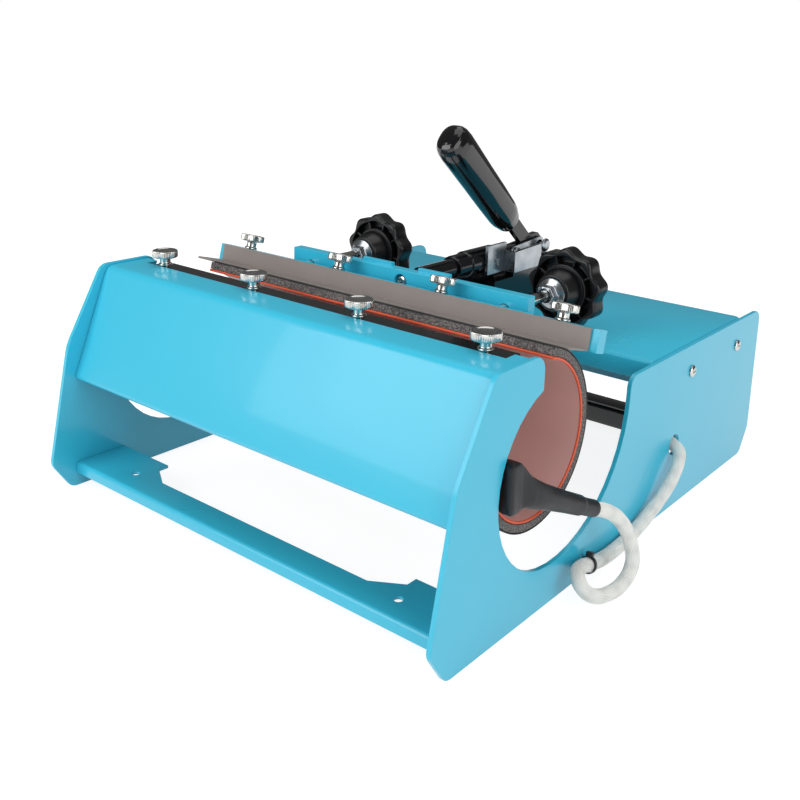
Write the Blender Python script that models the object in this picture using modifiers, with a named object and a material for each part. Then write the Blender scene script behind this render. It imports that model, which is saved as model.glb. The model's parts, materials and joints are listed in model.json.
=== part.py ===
"""Mug heat press.

A folded sheet-steel frame carries a wrap-around heating mat. The mat's front end is held by a
clamp bar in the front cover, and its rear end by a jaw that a push-pull toggle clamp drives
towards the front. X runs along the mug, +Y towards the back, +Z up. The origin lies on the
table, under the middle of the frame. All lengths are in metres.
"""

import math

import bmesh
import bpy
from mathutils import Matrix, Vector

MM = 0.001
GAP = 0.3 * MM          # clearance between pieces that touch
HOLE_PLAY = 0.3 * MM    # radial clearance of a hole round its screw, rod or pin

# Frame: overall width over the side plates, and depth and thickness of a side plate
FRAME_WIDTH = 340 * MM
AXIS_HEIGHT = 152.5 * MM    # the plunger's axis, which the deck, bore and tops follow
PLATE_DEPTH = 415 * MM
PLATE_THICKNESS = 3 * MM
SHEET = 2 * MM

# Side plate outline: distances back from its foremost point, and heights above the table
REAR_HEIGHT = AXIS_HEIGHT - 35 * MM
FRONT_HEIGHT = AXIS_HEIGHT + 5.5 * MM
FOOT_SET_BACK = 14 * MM
FOOT_RISE = 21 * MM
FRONT_BEND = (18 * MM, 105 * MM)
FRONT_BEND_REACH = 60 * MM
TOP_FRONT_BACK = 48 * MM
EAR_BACK = 94 * MM
REAR_CHAMFER_RUN = 13 * MM
REAR_CHAMFER_RISE = 19 * MM

# C cut-out: a small arc at the front runs into a large one at the back
SMALL_ARC_CENTRE = (112.8 * MM, 83 * MM)
SMALL_ARC_RADIUS = 57.5 * MM
LARGE_ARC_RADIUS = 81 * MM
LARGE_ARC_SWING = math.radians(257.7)
CUT_OUT_LIP_RADIUS = 8 * MM

# Holes in the right plate
LEAD_HOLE = (272.5 * MM, 48.5 * MM)
LEAD_HOLE_RADIUS = 7.5 * MM
TIE_HOLE = (150 * MM, 13.5 * MM)
TIE_HOLE_RADIUS = 2.2 * MM

# Front cover: its lower edge, its bend, and the notch that holds the clamp bar
COVER_LOW = (20.4 * MM, 79 * MM)
COVER_TOP = FRONT_HEIGHT - 1.4 * MM
COVER_BEND_BACK = 51.5 * MM
COVER_BEND_RADIUS = 7 * MM
COVER_RETURN = 9 * MM
COVER_TAB_BACK = 86 * MM
NOTCH_BACK = 77 * MM
NOTCH_HALF = FRAME_WIDTH / 2 - 14.5 * MM

# Front base strip
STRIP_FRONT_BACK = 18.3 * MM
STRIP_HEIGHT = 18 * MM
STRIP_LIP = 8 * MM
STRIP_DEPTH = 20 * MM
TAB_DEPTH = 40 * MM
TAB_INNER = 94 * MM
TAB_SLOPE_RUN = 20 * MM
BENCH_HOLE_HALF_SPACING = 120 * MM
BENCH_HOLE_BACK = 17 * MM
BENCH_HOLE_RADIUS = 2.8 * MM

# Rear cross bar and deck
CROSS_BAR_BACK = PLATE_DEPTH - 40 * MM
CROSS_BAR_DEPTH = 23 * MM
CROSS_BAR_HEIGHT = 19 * MM
CROSS_BAR_LIFT = 0.5 * MM
DECK_BACK = 235 * MM
DECK_DEPTH = PLATE_DEPTH - DECK_BACK - 29 * MM
DECK_FRONT_DROP = 14 * MM
DECK_SIDE_DROP = 30 * MM
DECK_BEND_RADIUS = 4 * MM
DECK_SCREW_BACKS = (DECK_BACK + 56 * MM, PLATE_DEPTH - 43.5 * MM)
DECK_SCREW_HEIGHT = REAR_HEIGHT - 19.5 * MM
DECK_SCREW_RADIUS = 2.5 * MM
DECK_SCREW_HEAD_RADIUS = 4.2 * MM
DECK_SCREW_HEAD = 2.2 * MM
DECK_SCREW_LENGTH = 9 * MM

# Control panel under the deck's rear edge
PANEL_HEIGHT = 70 * MM
PANEL_HALF_WIDTH = FRAME_WIDTH / 2 - 20 * MM
PANEL_THICKNESS = 2.5 * MM
DISPLAY_DEPTH = 8 * MM
DISPLAY_X = 75 * MM
DISPLAY_SIZE = (52 * MM, 30 * MM)
DISPLAY_BEZEL = 4 * MM
KEY_SPACING = 17 * MM
KEY_FIRST_X = -1 * MM
KEY_RADIUS = 5 * MM
KEY_PROUD = 2.5 * MM
ROCKER_X = -42 * MM
ROCKER_SIZE = (13 * MM, 19 * MM)
ROCKER_FRAME = 3 * MM
ROCKER_TILT = math.radians(14)
INLET_X = -92 * MM
INLET_SIZE = (27 * MM, 20 * MM)
INLET_DEPTH = 24 * MM
CONTROL_Z = REAR_HEIGHT - 39.5 * MM
BOARD_SIZE = (110 * MM, 52 * MM)
BOARD_THICKNESS = 1.6 * MM
STANDOFF = 9 * MM
RELAY_SIZE = (30 * MM, 14 * MM, 16 * MM)

# Mug bore and mat
BORE_BACK = 99.8 * MM
BORE_HEIGHT = AXIS_HEIGHT - 47.5 * MM
BORE_RADIUS = 46 * MM
LINER_THICKNESS = 1.5 * MM
FOAM_THICKNESS = 4.8 * MM
SKIN_THICKNESS = 0.6 * MM
MAT_LEFT_END = -FRAME_WIDTH / 2 + 44 * MM
MAT_RIGHT_END = FRAME_WIDTH / 2 - 5 * MM
MAT_FRONT_ANGLE = math.radians(125.6)
MAT_REAR_ANGLE = math.radians(77)

# Front clamp bar, its screws and the mat bracket under it
CLAMP_BAR_THICKNESS = 4 * MM
CLAMP_BAR_WIDTH = 30 * MM
CLAMP_BAR_UNDER_COVER = 12 * MM
BRACKET_THICKNESS = 1.5 * MM
FRONT_BRACKET_HALF = FRAME_WIDTH / 2 - 10 * MM
FRONT_BRACKET_FORWARD = 11 * MM
JAW_HALF_LENGTH = FRAME_WIDTH / 2 - 2 * MM
SCREW_OUTER = JAW_HALF_LENGTH - 28.5 * MM
SCREW_XS = (-SCREW_OUTER, -SCREW_OUTER / 3, SCREW_OUTER / 3, SCREW_OUTER)
SCREW_BACK = 81.2 * MM
THUMB_HEAD_RADIUS = 8.8 * MM
THUMB_HEAD = 5 * MM
THUMB_COLLAR_RADIUS = 4.8 * MM
THUMB_COLLAR = 5.7 * MM
THUMB_STEM_RADIUS = 2.5 * MM
THUMB_STEM = 10 * MM

# Moving jaw
JAW_BACK = 156.8 * MM
JAW_THICKNESS = 9 * MM
JAW_TOP = AXIS_HEIGHT + 4.5 * MM
JAW_HEIGHT = 14 * MM
JAW_TILT = math.radians(15)
REAR_BRACKET_HALF = JAW_HALF_LENGTH - 5 * MM

# Push bar, adjusting rods and star knobs
PUSH_BAR_BACK = 174.8 * MM
PUSH_BAR_THICKNESS = 8 * MM
PUSH_BAR_HALF_LENGTH = 106 * MM
PUSH_BAR_HEIGHT = 15.5 * MM
PUSH_BAR_RISE = 8.5 * MM
COUNTERBORE_RADIUS = 5.6 * MM
COUNTERBORE_DEPTH = 3.5 * MM
LIP_INNER = 12 * MM
LIP_LENGTH = 27 * MM
LIP_HEIGHT = 2.5 * MM
ROD_X = 88 * MM
ROD_HEIGHT = AXIS_HEIGHT - 2.8 * MM
ROD_RADIUS = 3.8 * MM
ROD_SOCKET = 7.8 * MM
ROD_REACH = 5 * MM
KNOB_BACK = 233 * MM
KNOB_RADIUS = 29.5 * MM
KNOB_LOBE_DEPTH = 3.4 * MM
KNOB_LOBES = 9
KNOB_THICKNESS = 16 * MM
KNOB_HUB_RADIUS = 16 * MM
KNOB_HUB_LENGTH = 14 * MM
KNOB_RECESS_OUTER = 24 * MM
KNOB_RECESS_INNER = 18 * MM
KNOB_RECESS_DEPTH = 7 * MM
KNOB_BORE_DEPTH = 24 * MM
NUT_RADIUS = 6.8 * MM
NUT_LENGTH = 6 * MM
NUT_FLANGE_RADIUS = 10.8 * MM
NUT_FLANGE = 2.5 * MM

# Toggle clamp
CLAMP_BASE_BACK = DECK_BACK + 16 * MM
CLAMP_BASE_DEPTH = 112 * MM
CLAMP_BASE_HALF = 21 * MM
CLAMP_BASE_THICKNESS = 3.2 * MM
BARREL_BACK = 234 * MM
BARREL_LENGTH = 51 * MM
BARREL_RADIUS = 9 * MM
BARREL_STEP = 15 * MM
BARREL_REAR_RADIUS = 10.1 * MM
SHOULDER_TOP = AXIS_HEIGHT - 12.5 * MM
PLUNGER_RADIUS = 7 * MM
PLUNGER_SLEEVE_BACK = 196 * MM
PLUNGER_NOSE_RADIUS = 4.5 * MM
TONGUE_THICKNESS = 5 * MM
TONGUE_LENGTH = 22 * MM
PLUNGER_PIN_BACK = 312.8 * MM
PIVOT_BACK = 352.8 * MM
PIVOT_HEIGHT = AXIS_HEIGHT - 11.5 * MM
CRANK_RADIUS = 14.4 * MM
CRANK_ANGLE = math.radians(110.3)
PIN_RADIUS = 2.3 * MM
PIN_HEAD_RADIUS = 4.6 * MM
PIN_HEAD = 2.6 * MM
PIVOT_RADIUS = 3 * MM
LINK_THICKNESS = 2.2 * MM
LINK_EYE_RADIUS = 7.2 * MM
LINK_SLACK = 2.4 * MM
WALL_INNER = 12.8 * MM
WALL_OUTER = 20 * MM
WALL_BACK = 287.5 * MM
WALL_TOP = AXIS_HEIGHT - 3 * MM
WALL_END = 362 * MM
BRACKET_PLATE = 2.5 * MM
BRACKET_LOW = AXIS_HEIGHT - 8.5 * MM
BRACKET_NECK_HALF = 13 * MM
BRACKET_WIDE_HALF = 22.9 * MM
BRACKET_FRONT_BACK = 262.5 * MM
BRACKET_STEP_BACK = 284.5 * MM
BRACKET_REAR_BACK = 322 * MM
BRACKET_NECK_TOP = AXIS_HEIGHT + 14 * MM
BRACKET_WIDE_TOP = AXIS_HEIGHT + 7.5 * MM
BRACKET_REAR_TOP = AXIS_HEIGHT + 9 * MM
RIVET_BACK = 276 * MM
RIVET_RADIUS = 3.4 * MM
RIVET_HEAD = 1.6 * MM
LEVER_ANGLE = math.radians(138.6)
LEVER_THICKNESS = 5 * MM
LEVER_WIDTH = 12 * MM
LEVER_LENGTH = 86 * MM
GRIP_START = 57 * MM
GRIP_LENGTH = 112 * MM
GRIP_WIDTH = 22 * MM
GRIP_DEPTH = 26.5 * MM
GRIP_OFFSET = 2 * MM

# Lead, its boot and its tie
LEAD_RADIUS = 4.4 * MM
BOOT_BLOCK_LOW = (60.5 * MM, 76 * MM)
BOOT_BLOCK_HIGH = (72 * MM, 106 * MM)
BOOT_BLOCK_LENGTH = 10 * MM
BOOT_END = (FRAME_WIDTH / 2 + 14 * MM, 134.5 * MM, 57 * MM)
BOOT_END_RADIUS = 5.4 * MM
BOOT_ROOT_RADIUS = 7.2 * MM
TIE_WIDTH = 3 * MM
TIE_THICKNESS = 0.8 * MM

# Worked out from the above
PLATE_INNER = FRAME_WIDTH / 2 - PLATE_THICKNESS
SHEET_HALF = PLATE_INNER - GAP
MAT_THICKNESS = LINER_THICKNESS + FOAM_THICKNESS + SKIN_THICKNESS + 2 * GAP
MAT_OUTER_RADIUS = BORE_RADIUS + MAT_THICKNESS
CLAMP_BAR_TOP = COVER_TOP - SHEET - GAP
FRONT_BRACKET_TOP = CLAMP_BAR_TOP - CLAMP_BAR_THICKNESS - GAP
FRONT_BRACKET_LOW = FRONT_BRACKET_TOP - BRACKET_THICKNESS
DECK_FLOOR = REAR_HEIGHT + GAP
LARGE_ARC_CENTRE = (
    SMALL_ARC_CENTRE[0] - (LARGE_ARC_RADIUS - SMALL_ARC_RADIUS) * math.cos(LARGE_ARC_SWING),
    SMALL_ARC_CENTRE[1] - (LARGE_ARC_RADIUS - SMALL_ARC_RADIUS) * math.sin(LARGE_ARC_SWING),
)
ROUND_SEGMENTS = 16
ARC_STEP = math.radians(9)


def back(distance):
    """The Y of a point that lies this far behind the frame's foremost point."""
    return distance - PLATE_DEPTH / 2


# ---------------------------------------------------------------- scene and materials

def clear_scene():
    """Remove every object that the file holds."""
    for item in list(bpy.data.objects):
        bpy.data.objects.remove(item, do_unlink=True)


def make_collection(name):
    """A collection of this name in the scene."""
    collection = bpy.data.collections.new(name)
    bpy.context.scene.collection.children.link(collection)
    return collection


def make_material(name, colour, roughness, metallic=0.0):
    """A plain Principled material."""
    material = bpy.data.materials.new(name)
    material.use_nodes = True
    shader = material.node_tree.nodes["Principled BSDF"]
    shader.inputs["Base Color"].default_value = (*colour, 1.0)
    shader.inputs["Roughness"].default_value = roughness
    shader.inputs["Metallic"].default_value = metallic
    material.diffuse_color = (*colour, 1.0)
    return material


def add_object(name, data, material, collection):
    """Put mesh or curve data into the scene as one named piece."""
    item = bpy.data.objects.new(name, data)
    if material:
        data.materials.append(material)
    collection.objects.link(item)
    return item


def mesh_from(bm, name, smooth_degrees=0):
    """Turn a bmesh into a mesh with its faces outwards, smooth up to an angle."""
    bmesh.ops.recalc_face_normals(bm, faces=bm.faces)
    mesh = bpy.data.meshes.new(name)
    bm.to_mesh(mesh)
    bm.free()
    if smooth_degrees:
        mesh.shade_smooth()
        mesh.set_sharp_from_angle(angle=math.radians(smooth_degrees))
    return mesh


# ---------------------------------------------------------------- shapes

def arc(centre, radius, start, end, step=ARC_STEP):
    """Points along a circular arc, both ends included."""
    count = max(2, math.ceil(abs(end - start) / step))
    angles = [start + (end - start) * i / count for i in range(count + 1)]
    return [(centre[0] + radius * math.cos(a), centre[1] + radius * math.sin(a)) for a in angles]


def round_corner(before, corner, after, radius, step=ARC_STEP * 2):
    """The points that round off one corner of a path."""
    if radius <= 0:
        return [tuple(corner)]
    here = Vector(corner)
    into = (here - Vector(before)).normalized()
    out = (Vector(after) - here).normalized()
    turn = into.angle_signed(out)
    reach = radius * math.tan(abs(turn) / 2)
    side = Vector((-into.y, into.x)) * (-1 if turn > 0 else 1)
    centre = here - into * reach + side * radius
    start = math.atan2(*reversed((here - into * reach - centre)[:]))
    return arc(centre, radius, start, start - turn, step)


def rounded(corners, radii, closed=True):
    """A path whose corners are rounded, one radius for each corner."""
    points = []
    last = len(corners) - 1
    for i, corner in enumerate(corners):
        if not closed and i in (0, last):
            points.append(tuple(corner))
            continue
        after = corners[(i + 1) % len(corners)]
        points += round_corner(corners[i - 1], corner, after, radii[i])
    return points


def circle(centre, radius, segments=ROUND_SEGMENTS):
    """A ring of points."""
    step = 2 * math.pi / segments
    return [
        (centre[0] + radius * math.cos(i * step), centre[1] + radius * math.sin(i * step))
        for i in range(segments)
    ]


def rectangle(half_width, low, high):
    """The corners of a rectangle that is centred across."""
    return [(-half_width, low), (half_width, low), (half_width, high), (-half_width, high)]


SIDE_VIEW = (math.pi / 2, 0, math.pi / 2)    # outline X, Y to world Y, Z
FRONT_VIEW = (math.pi / 2, 0, 0)             # outline X, Y to world X, Z
TOP_VIEW = (0, 0, 0)                         # outline X, Y to world X, Y


def add_outline(name, loops, thickness, location, view, material):
    """A flat plate: a 2D outline with holes, centred in its thickness on its location."""
    curve = bpy.data.curves.new(name, "CURVE")
    curve.dimensions = "2D"
    curve.fill_mode = "BOTH"
    curve.extrude = thickness / 2
    for loop in loops:
        spline = curve.splines.new("POLY")
        spline.points.add(len(loop) - 1)
        for point, (x, y) in zip(spline.points, loop):
            point.co = (x, y, 0, 1)
        spline.use_cyclic_u = True
    item = add_object(name, curve, material, PARTS)
    item.location = location
    item.rotation_euler = view
    return item


def to_mesh(item, weld=0.00001):
    """Make a curve piece a mesh, with its caps welded on."""
    bpy.context.view_layer.update()
    evaluated = item.evaluated_get(bpy.context.evaluated_depsgraph_get())
    mesh = bpy.data.meshes.new_from_object(evaluated)
    bm = bmesh.new()
    bm.from_mesh(mesh)
    bmesh.ops.remove_doubles(bm, verts=bm.verts, dist=weld)
    bmesh.ops.recalc_face_normals(bm, faces=bm.faces)
    bm.to_mesh(mesh)
    bm.free()
    name = item.name
    place = item.matrix_world.copy()
    bpy.data.objects.remove(item, do_unlink=True)
    solid = bpy.data.objects.new(name, mesh)
    PARTS.objects.link(solid)
    solid.matrix_world = place
    return solid


def add_box(name, low, high, material, bevel=0.0):
    """A box between two corners, with its edges rounded if asked."""
    bm = bmesh.new()
    bmesh.ops.create_cube(bm, size=1.0)
    size = [h - l for l, h in zip(low, high)]
    bmesh.ops.scale(bm, vec=size, verts=bm.verts)
    item = add_object(name, mesh_from(bm, name), material, PARTS)
    item.location = [(h + l) / 2 for l, h in zip(low, high)]
    if bevel:
        add_bevel(item, bevel)
    return item


def add_bevel(item, width, segments=2, angle=35):
    """Round the sharp edges of a piece."""
    bevel = item.modifiers.new("edges", "BEVEL")
    bevel.width = width
    bevel.segments = segments
    bevel.limit_method = "ANGLE"
    bevel.angle_limit = math.radians(angle)


def add_rod(name, start, end, radius, material, segments=ROUND_SEGMENTS, end_radius=None):
    """A cylinder or cone between two points."""
    start = Vector(start)
    end = Vector(end)
    bm = bmesh.new()
    bmesh.ops.create_cone(
        bm, cap_ends=True, segments=segments, radius1=radius,
        radius2=radius if end_radius is None else end_radius, depth=(end - start).length,
    )
    item = add_object(name, mesh_from(bm, name, 40), material, PARTS)
    item.location = (start + end) / 2
    item.rotation_euler = (end - start).to_track_quat("Z", "Y").to_euler()
    return item


def add_turned(name, profile, location, material, direction=(0, 0, 1), segments=ROUND_SEGMENTS):
    """A turned piece: radius and height pairs, from the top of its axis down and back to it."""
    bm = bmesh.new()
    verts = [bm.verts.new((radius, 0, height)) for radius, height in profile]
    for first, second in zip(verts, verts[1:]):
        bm.edges.new((first, second))
    if profile[0][0] > 0:
        bm.edges.new((verts[-1], verts[0]))
    mesh = bpy.data.meshes.new(name)
    bm.to_mesh(mesh)
    bm.free()
    item = add_object(name, mesh, material, PARTS)
    screw = item.modifiers.new("turn", "SCREW")
    screw.steps = segments
    screw.render_steps = segments
    screw.use_merge_vertices = True
    screw.merge_threshold = 0.00001
    item.location = location
    item.rotation_euler = Vector(direction).to_track_quat("Z", "Y").to_euler()
    return item


def add_sheet(name, path, x_low, x_high, thickness, material, inner=True):
    """Bent sheet: a path of back and height pairs, swept along X and given its thickness."""
    bm = bmesh.new()
    left = [bm.verts.new((x_low, back(y), z)) for y, z in path]
    right = [bm.verts.new((x_high, back(y), z)) for y, z in path]
    for i in range(len(path) - 1):
        bm.faces.new((left[i], right[i], right[i + 1], left[i + 1]))
    mesh = bpy.data.meshes.new(name)
    bm.to_mesh(mesh)
    bm.free()
    item = add_object(name, mesh, material, PARTS)
    wall = item.modifiers.new("wall", "SOLIDIFY")
    wall.thickness = thickness
    wall.offset = -1.0 if inner else 1.0
    wall.use_even_offset = True
    return item


def add_loft(name, sections, material, points=16, power=2.0):
    """A loft through oval sections, each a centre and two half axes."""
    bm = bmesh.new()
    rings = []
    for centre, across, up in sections:
        ring = []
        for i in range(points):
            angle = 2 * math.pi * i / points
            cos, sin = math.cos(angle), math.sin(angle)
            across_share = math.copysign(abs(cos) ** (2 / power), cos)
            up_share = math.copysign(abs(sin) ** (2 / power), sin)
            ring.append(bm.verts.new(Vector(centre) + Vector(across) * across_share
                                     + Vector(up) * up_share))
        rings.append(ring)
    for first, second in zip(rings, rings[1:]):
        for i in range(points):
            j = (i + 1) % points
            bm.faces.new((first[i], first[j], second[j], second[i]))
    bm.faces.new(rings[0])
    bm.faces.new(rings[-1])
    return add_object(name, mesh_from(bm, name, 40), material, PARTS)


def use_tool(item, tool, operation="DIFFERENCE"):
    """Cut a piece with a tool, or join the tool to it."""
    PARTS.objects.unlink(tool)
    CUTTERS.objects.link(tool)
    tool.hide_render = True
    tool.display_type = "WIRE"
    boolean = item.modifiers.new(tool.name, "BOOLEAN")
    boolean.operation = operation
    boolean.object = tool


def carry(joint_name, location, items):
    """Put an empty on a joint's axis and hang the pieces that turn or slide there from it."""
    empty = bpy.data.objects.new(joint_name, None)
    empty.location = location
    PARTS.objects.link(empty)
    bpy.context.view_layer.update()
    for item in items:
        item.parent = empty
        item.matrix_parent_inverse = Matrix.Translation(location).inverted()
    return empty


# ---------------------------------------------------------------- frame

def plate_outline():
    """Outline of a side plate, with its C cut-out open at the top."""
    lean = (FRONT_HEIGHT - FRONT_BEND[1]) / (TOP_FRONT_BACK - FRONT_BEND[0])
    ear_drop = math.acos((EAR_BACK - SMALL_ARC_CENTRE[0]) / SMALL_ARC_RADIUS)
    large_end_y = LARGE_ARC_CENTRE[0] + LARGE_ARC_RADIUS
    front = rounded(
        [
            (FOOT_SET_BACK, 0), (0, FOOT_RISE), FRONT_BEND, (TOP_FRONT_BACK, FRONT_HEIGHT),
            (EAR_BACK, FRONT_HEIGHT),
        ],
        [5 * MM, 9 * MM, FRONT_BEND_REACH / max(lean, 1), 9 * MM, 9 * MM],
        closed=False,
    )
    front = front[1:-1]
    foot = round_corner((FOOT_SET_BACK * 4, 0), (FOOT_SET_BACK, 0), (0, FOOT_RISE), 8 * MM)
    ear = round_corner(
        (TOP_FRONT_BACK, FRONT_HEIGHT), (EAR_BACK, FRONT_HEIGHT),
        (EAR_BACK, SMALL_ARC_CENTRE[1]), 9 * MM,
    )
    small = arc(SMALL_ARC_CENTRE, SMALL_ARC_RADIUS, ear_drop, LARGE_ARC_SWING)
    large = arc(LARGE_ARC_CENTRE, LARGE_ARC_RADIUS, LARGE_ARC_SWING, 2 * math.pi)
    rear = rounded(
        [
            (large_end_y, LARGE_ARC_CENTRE[1]), (large_end_y, REAR_HEIGHT),
            (PLATE_DEPTH, REAR_HEIGHT), (PLATE_DEPTH, REAR_CHAMFER_RISE),
            (PLATE_DEPTH - REAR_CHAMFER_RUN, 0), (FOOT_SET_BACK * 4, 0),
        ],
        [0, CUT_OUT_LIP_RADIUS, 9 * MM, 8 * MM, 8 * MM, 0],
        closed=False,
    )
    return foot + front + ear + small + large[1:] + rear[1:-1]


def side_plate(side, material):
    """One side plate, with its screw holes; the right one also passes and ties the lead."""
    name = "side_plate_right" if side > 0 else "side_plate_left"
    loops = [plate_outline()]
    for screw_back in DECK_SCREW_BACKS:
        loops.append(circle((screw_back, DECK_SCREW_HEIGHT), DECK_SCREW_RADIUS + HOLE_PLAY))
    if side > 0:
        loops.append(circle(LEAD_HOLE, LEAD_HOLE_RADIUS))
        loops.append(circle(TIE_HOLE, TIE_HOLE_RADIUS))
    middle = FRAME_WIDTH / 2 - PLATE_THICKNESS / 2
    return add_outline(name, loops, PLATE_THICKNESS, (side * middle, back(0), 0), SIDE_VIEW, material)


def front_cover(material):
    """Sloped front cover with a return at its foot and a notch along its top."""
    corners = [
        (COVER_LOW[0] + COVER_RETURN, COVER_LOW[1]), COVER_LOW,
        (COVER_BEND_BACK, COVER_TOP), (COVER_TAB_BACK, COVER_TOP),
    ]
    path = rounded(corners, [0, 3 * MM, COVER_BEND_RADIUS, 0], closed=False)
    cover = add_sheet("front_cover", path, -SHEET_HALF, SHEET_HALF, SHEET, material)
    low = (-NOTCH_HALF, back(NOTCH_BACK), COVER_TOP - 4 * SHEET)
    high = (NOTCH_HALF, back(COVER_TAB_BACK + 10 * MM), COVER_TOP + 4 * SHEET)
    use_tool(cover, add_box("cover_notch", low, high, None))
    return cover


def front_base_strip(material):
    """Angle across the front feet, with a bench-screw tab at each end."""
    rear = STRIP_FRONT_BACK + TAB_DEPTH
    path = rounded(
        [
            (STRIP_FRONT_BACK, STRIP_HEIGHT - STRIP_LIP), (STRIP_FRONT_BACK, STRIP_HEIGHT),
            (rear, STRIP_HEIGHT),
        ],
        [0, 3 * MM, 0], closed=False,
    )
    strip = add_sheet("front_base_strip", path, -SHEET_HALF, SHEET_HALF, SHEET, material)
    waist = [
        (-TAB_INNER - TAB_SLOPE_RUN, rear + 5 * MM),
        (-TAB_INNER - TAB_SLOPE_RUN, rear - 8 * MM),
        (-TAB_INNER, STRIP_FRONT_BACK + STRIP_DEPTH),
        (TAB_INNER, STRIP_FRONT_BACK + STRIP_DEPTH),
        (TAB_INNER + TAB_SLOPE_RUN, rear - 8 * MM),
        (TAB_INNER + TAB_SLOPE_RUN, rear + 5 * MM),
    ]
    tool = add_outline("strip_waist", [waist], 4 * SHEET, (0, back(0), STRIP_HEIGHT), TOP_VIEW, None)
    use_tool(strip, to_mesh(tool))
    for side in (-1, 1):
        x = side * BENCH_HOLE_HALF_SPACING
        y = back(STRIP_FRONT_BACK + BENCH_HOLE_BACK)
        hole = add_rod("bench_hole", (x, y, 0), (x, y, 2 * STRIP_HEIGHT), BENCH_HOLE_RADIUS, None)
        use_tool(strip, hole)
    return strip


def rear_cross_bar(material):
    """Dark glossy bar low between the plates at the back."""
    low = (-SHEET_HALF, back(CROSS_BAR_BACK), CROSS_BAR_LIFT)
    high = (SHEET_HALF, back(CROSS_BAR_BACK + CROSS_BAR_DEPTH), CROSS_BAR_LIFT + CROSS_BAR_HEIGHT)
    return add_box("rear_cross_bar", low, high, material, bevel=4 * MM)


def rear_deck(material):
    """Deck: a tray open at the bottom, whose front and rear walls are short."""
    bm = bmesh.new()
    bmesh.ops.create_cube(bm, size=1.0)
    bmesh.ops.scale(bm, vec=(2 * SHEET_HALF, DECK_DEPTH, DECK_SIDE_DROP), verts=bm.verts)
    floor = [face for face in bm.faces if face.normal.z < -0.5]
    bmesh.ops.delete(bm, geom=floor, context="FACES_ONLY")
    deck = add_object("rear_deck", mesh_from(bm, "rear_deck"), material, PARTS)
    deck.location = (0, back(DECK_BACK + DECK_DEPTH / 2), REAR_HEIGHT - DECK_SIDE_DROP / 2)
    add_bevel(deck, DECK_BEND_RADIUS, segments=3)
    wall = deck.modifiers.new("wall", "SOLIDIFY")
    wall.thickness = SHEET
    wall.offset = -1.0
    wall.use_even_offset = True
    trim_half = SHEET_HALF - 12 * MM
    trim_top = REAR_HEIGHT - DECK_FRONT_DROP
    low = (-trim_half, back(DECK_BACK - 5 * MM), trim_top - DECK_SIDE_DROP)
    high = (trim_half, back(DECK_BACK + DECK_DEPTH + 5 * MM), trim_top)
    use_tool(deck, add_box("deck_trim", low, high, None))
    for screw_back in DECK_SCREW_BACKS:
        start = (-FRAME_WIDTH, back(screw_back), DECK_SCREW_HEIGHT)
        end = (FRAME_WIDTH, back(screw_back), DECK_SCREW_HEIGHT)
        hole = add_rod("deck_hole", start, end, DECK_SCREW_RADIUS + HOLE_PLAY, None)
        use_tool(deck, hole)
    return deck


def deck_screw(side, number, screw_back, material):
    """Pan-head screw through a side plate into the deck."""
    name = "deck_screw_%s_%d" % ("right" if side > 0 else "left", number)
    seat = GAP
    profile = [
        (0, seat + DECK_SCREW_HEAD), (DECK_SCREW_HEAD_RADIUS * 0.6, seat + DECK_SCREW_HEAD),
        (DECK_SCREW_HEAD_RADIUS, seat + DECK_SCREW_HEAD * 0.4), (DECK_SCREW_HEAD_RADIUS, seat),
        (DECK_SCREW_RADIUS, seat), (DECK_SCREW_RADIUS, -DECK_SCREW_LENGTH), (0, -DECK_SCREW_LENGTH),
    ]
    location = (side * FRAME_WIDTH / 2, back(screw_back), DECK_SCREW_HEIGHT)
    return add_turned(name, profile, location, material, (side, 0, 0), segments=12)


# ---------------------------------------------------------------- control panel

def panel_face():
    """The Y of the panel's outer face: it hangs inside the deck's rear wall."""
    return back(DECK_BACK + DECK_DEPTH - SHEET - GAP)


def panel_low():
    """Height of the panel's lower edge."""
    return REAR_HEIGHT - DECK_BEND_RADIUS - GAP - PANEL_HEIGHT


def slot_outline(x, size, radius):
    """A rounded rectangle about the controls' height."""
    half_width, half_height = size[0] / 2, size[1] / 2
    corners = [
        (x - half_width, CONTROL_Z - half_height), (x + half_width, CONTROL_Z - half_height),
        (x + half_width, CONTROL_Z + half_height), (x - half_width, CONTROL_Z + half_height),
    ]
    return rounded(corners, [radius] * 4)


def grown(size, margin):
    """A width and height with a margin all round."""
    return (size[0] + 2 * margin, size[1] + 2 * margin)


def key_xs():
    """Where the three keys stand along the panel."""
    return [KEY_FIRST_X + i * KEY_SPACING for i in range(3)]


def control_panel(material):
    """Flat panel with openings for the display, keys, switch and inlet."""
    low = panel_low()
    loops = [rectangle(PANEL_HALF_WIDTH, low, low + PANEL_HEIGHT)]
    loops.append(slot_outline(DISPLAY_X, DISPLAY_SIZE, GAP))
    loops.append(slot_outline(ROCKER_X, ROCKER_SIZE, GAP))
    loops.append(slot_outline(INLET_X, INLET_SIZE, 1 * MM))
    for x in key_xs():
        loops.append(circle((x, CONTROL_Z), KEY_RADIUS + HOLE_PLAY))
    y = panel_face() - PANEL_THICKNESS / 2
    return add_outline("control_panel", loops, PANEL_THICKNESS, (0, y, 0), FRONT_VIEW, material)


def display(dark, glass):
    """Display module behind its window, and the window with its rim on the panel."""
    face = panel_face()
    half_width, half_height = (s / 2 - GAP for s in DISPLAY_SIZE)
    low = (DISPLAY_X - half_width, face - PANEL_THICKNESS - DISPLAY_DEPTH, CONTROL_Z - half_height)
    high = (DISPLAY_X + half_width, face - GAP, CONTROL_Z + half_height)
    module = add_box("display_module", low, high, dark)
    window = add_outline(
        "display_window", [slot_outline(DISPLAY_X, grown(DISPLAY_SIZE, DISPLAY_BEZEL), 4 * MM)],
        1.6 * MM, (0, face + GAP + 0.8 * MM, 0), FRONT_VIEW, glass,
    )
    return [module, window]


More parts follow.
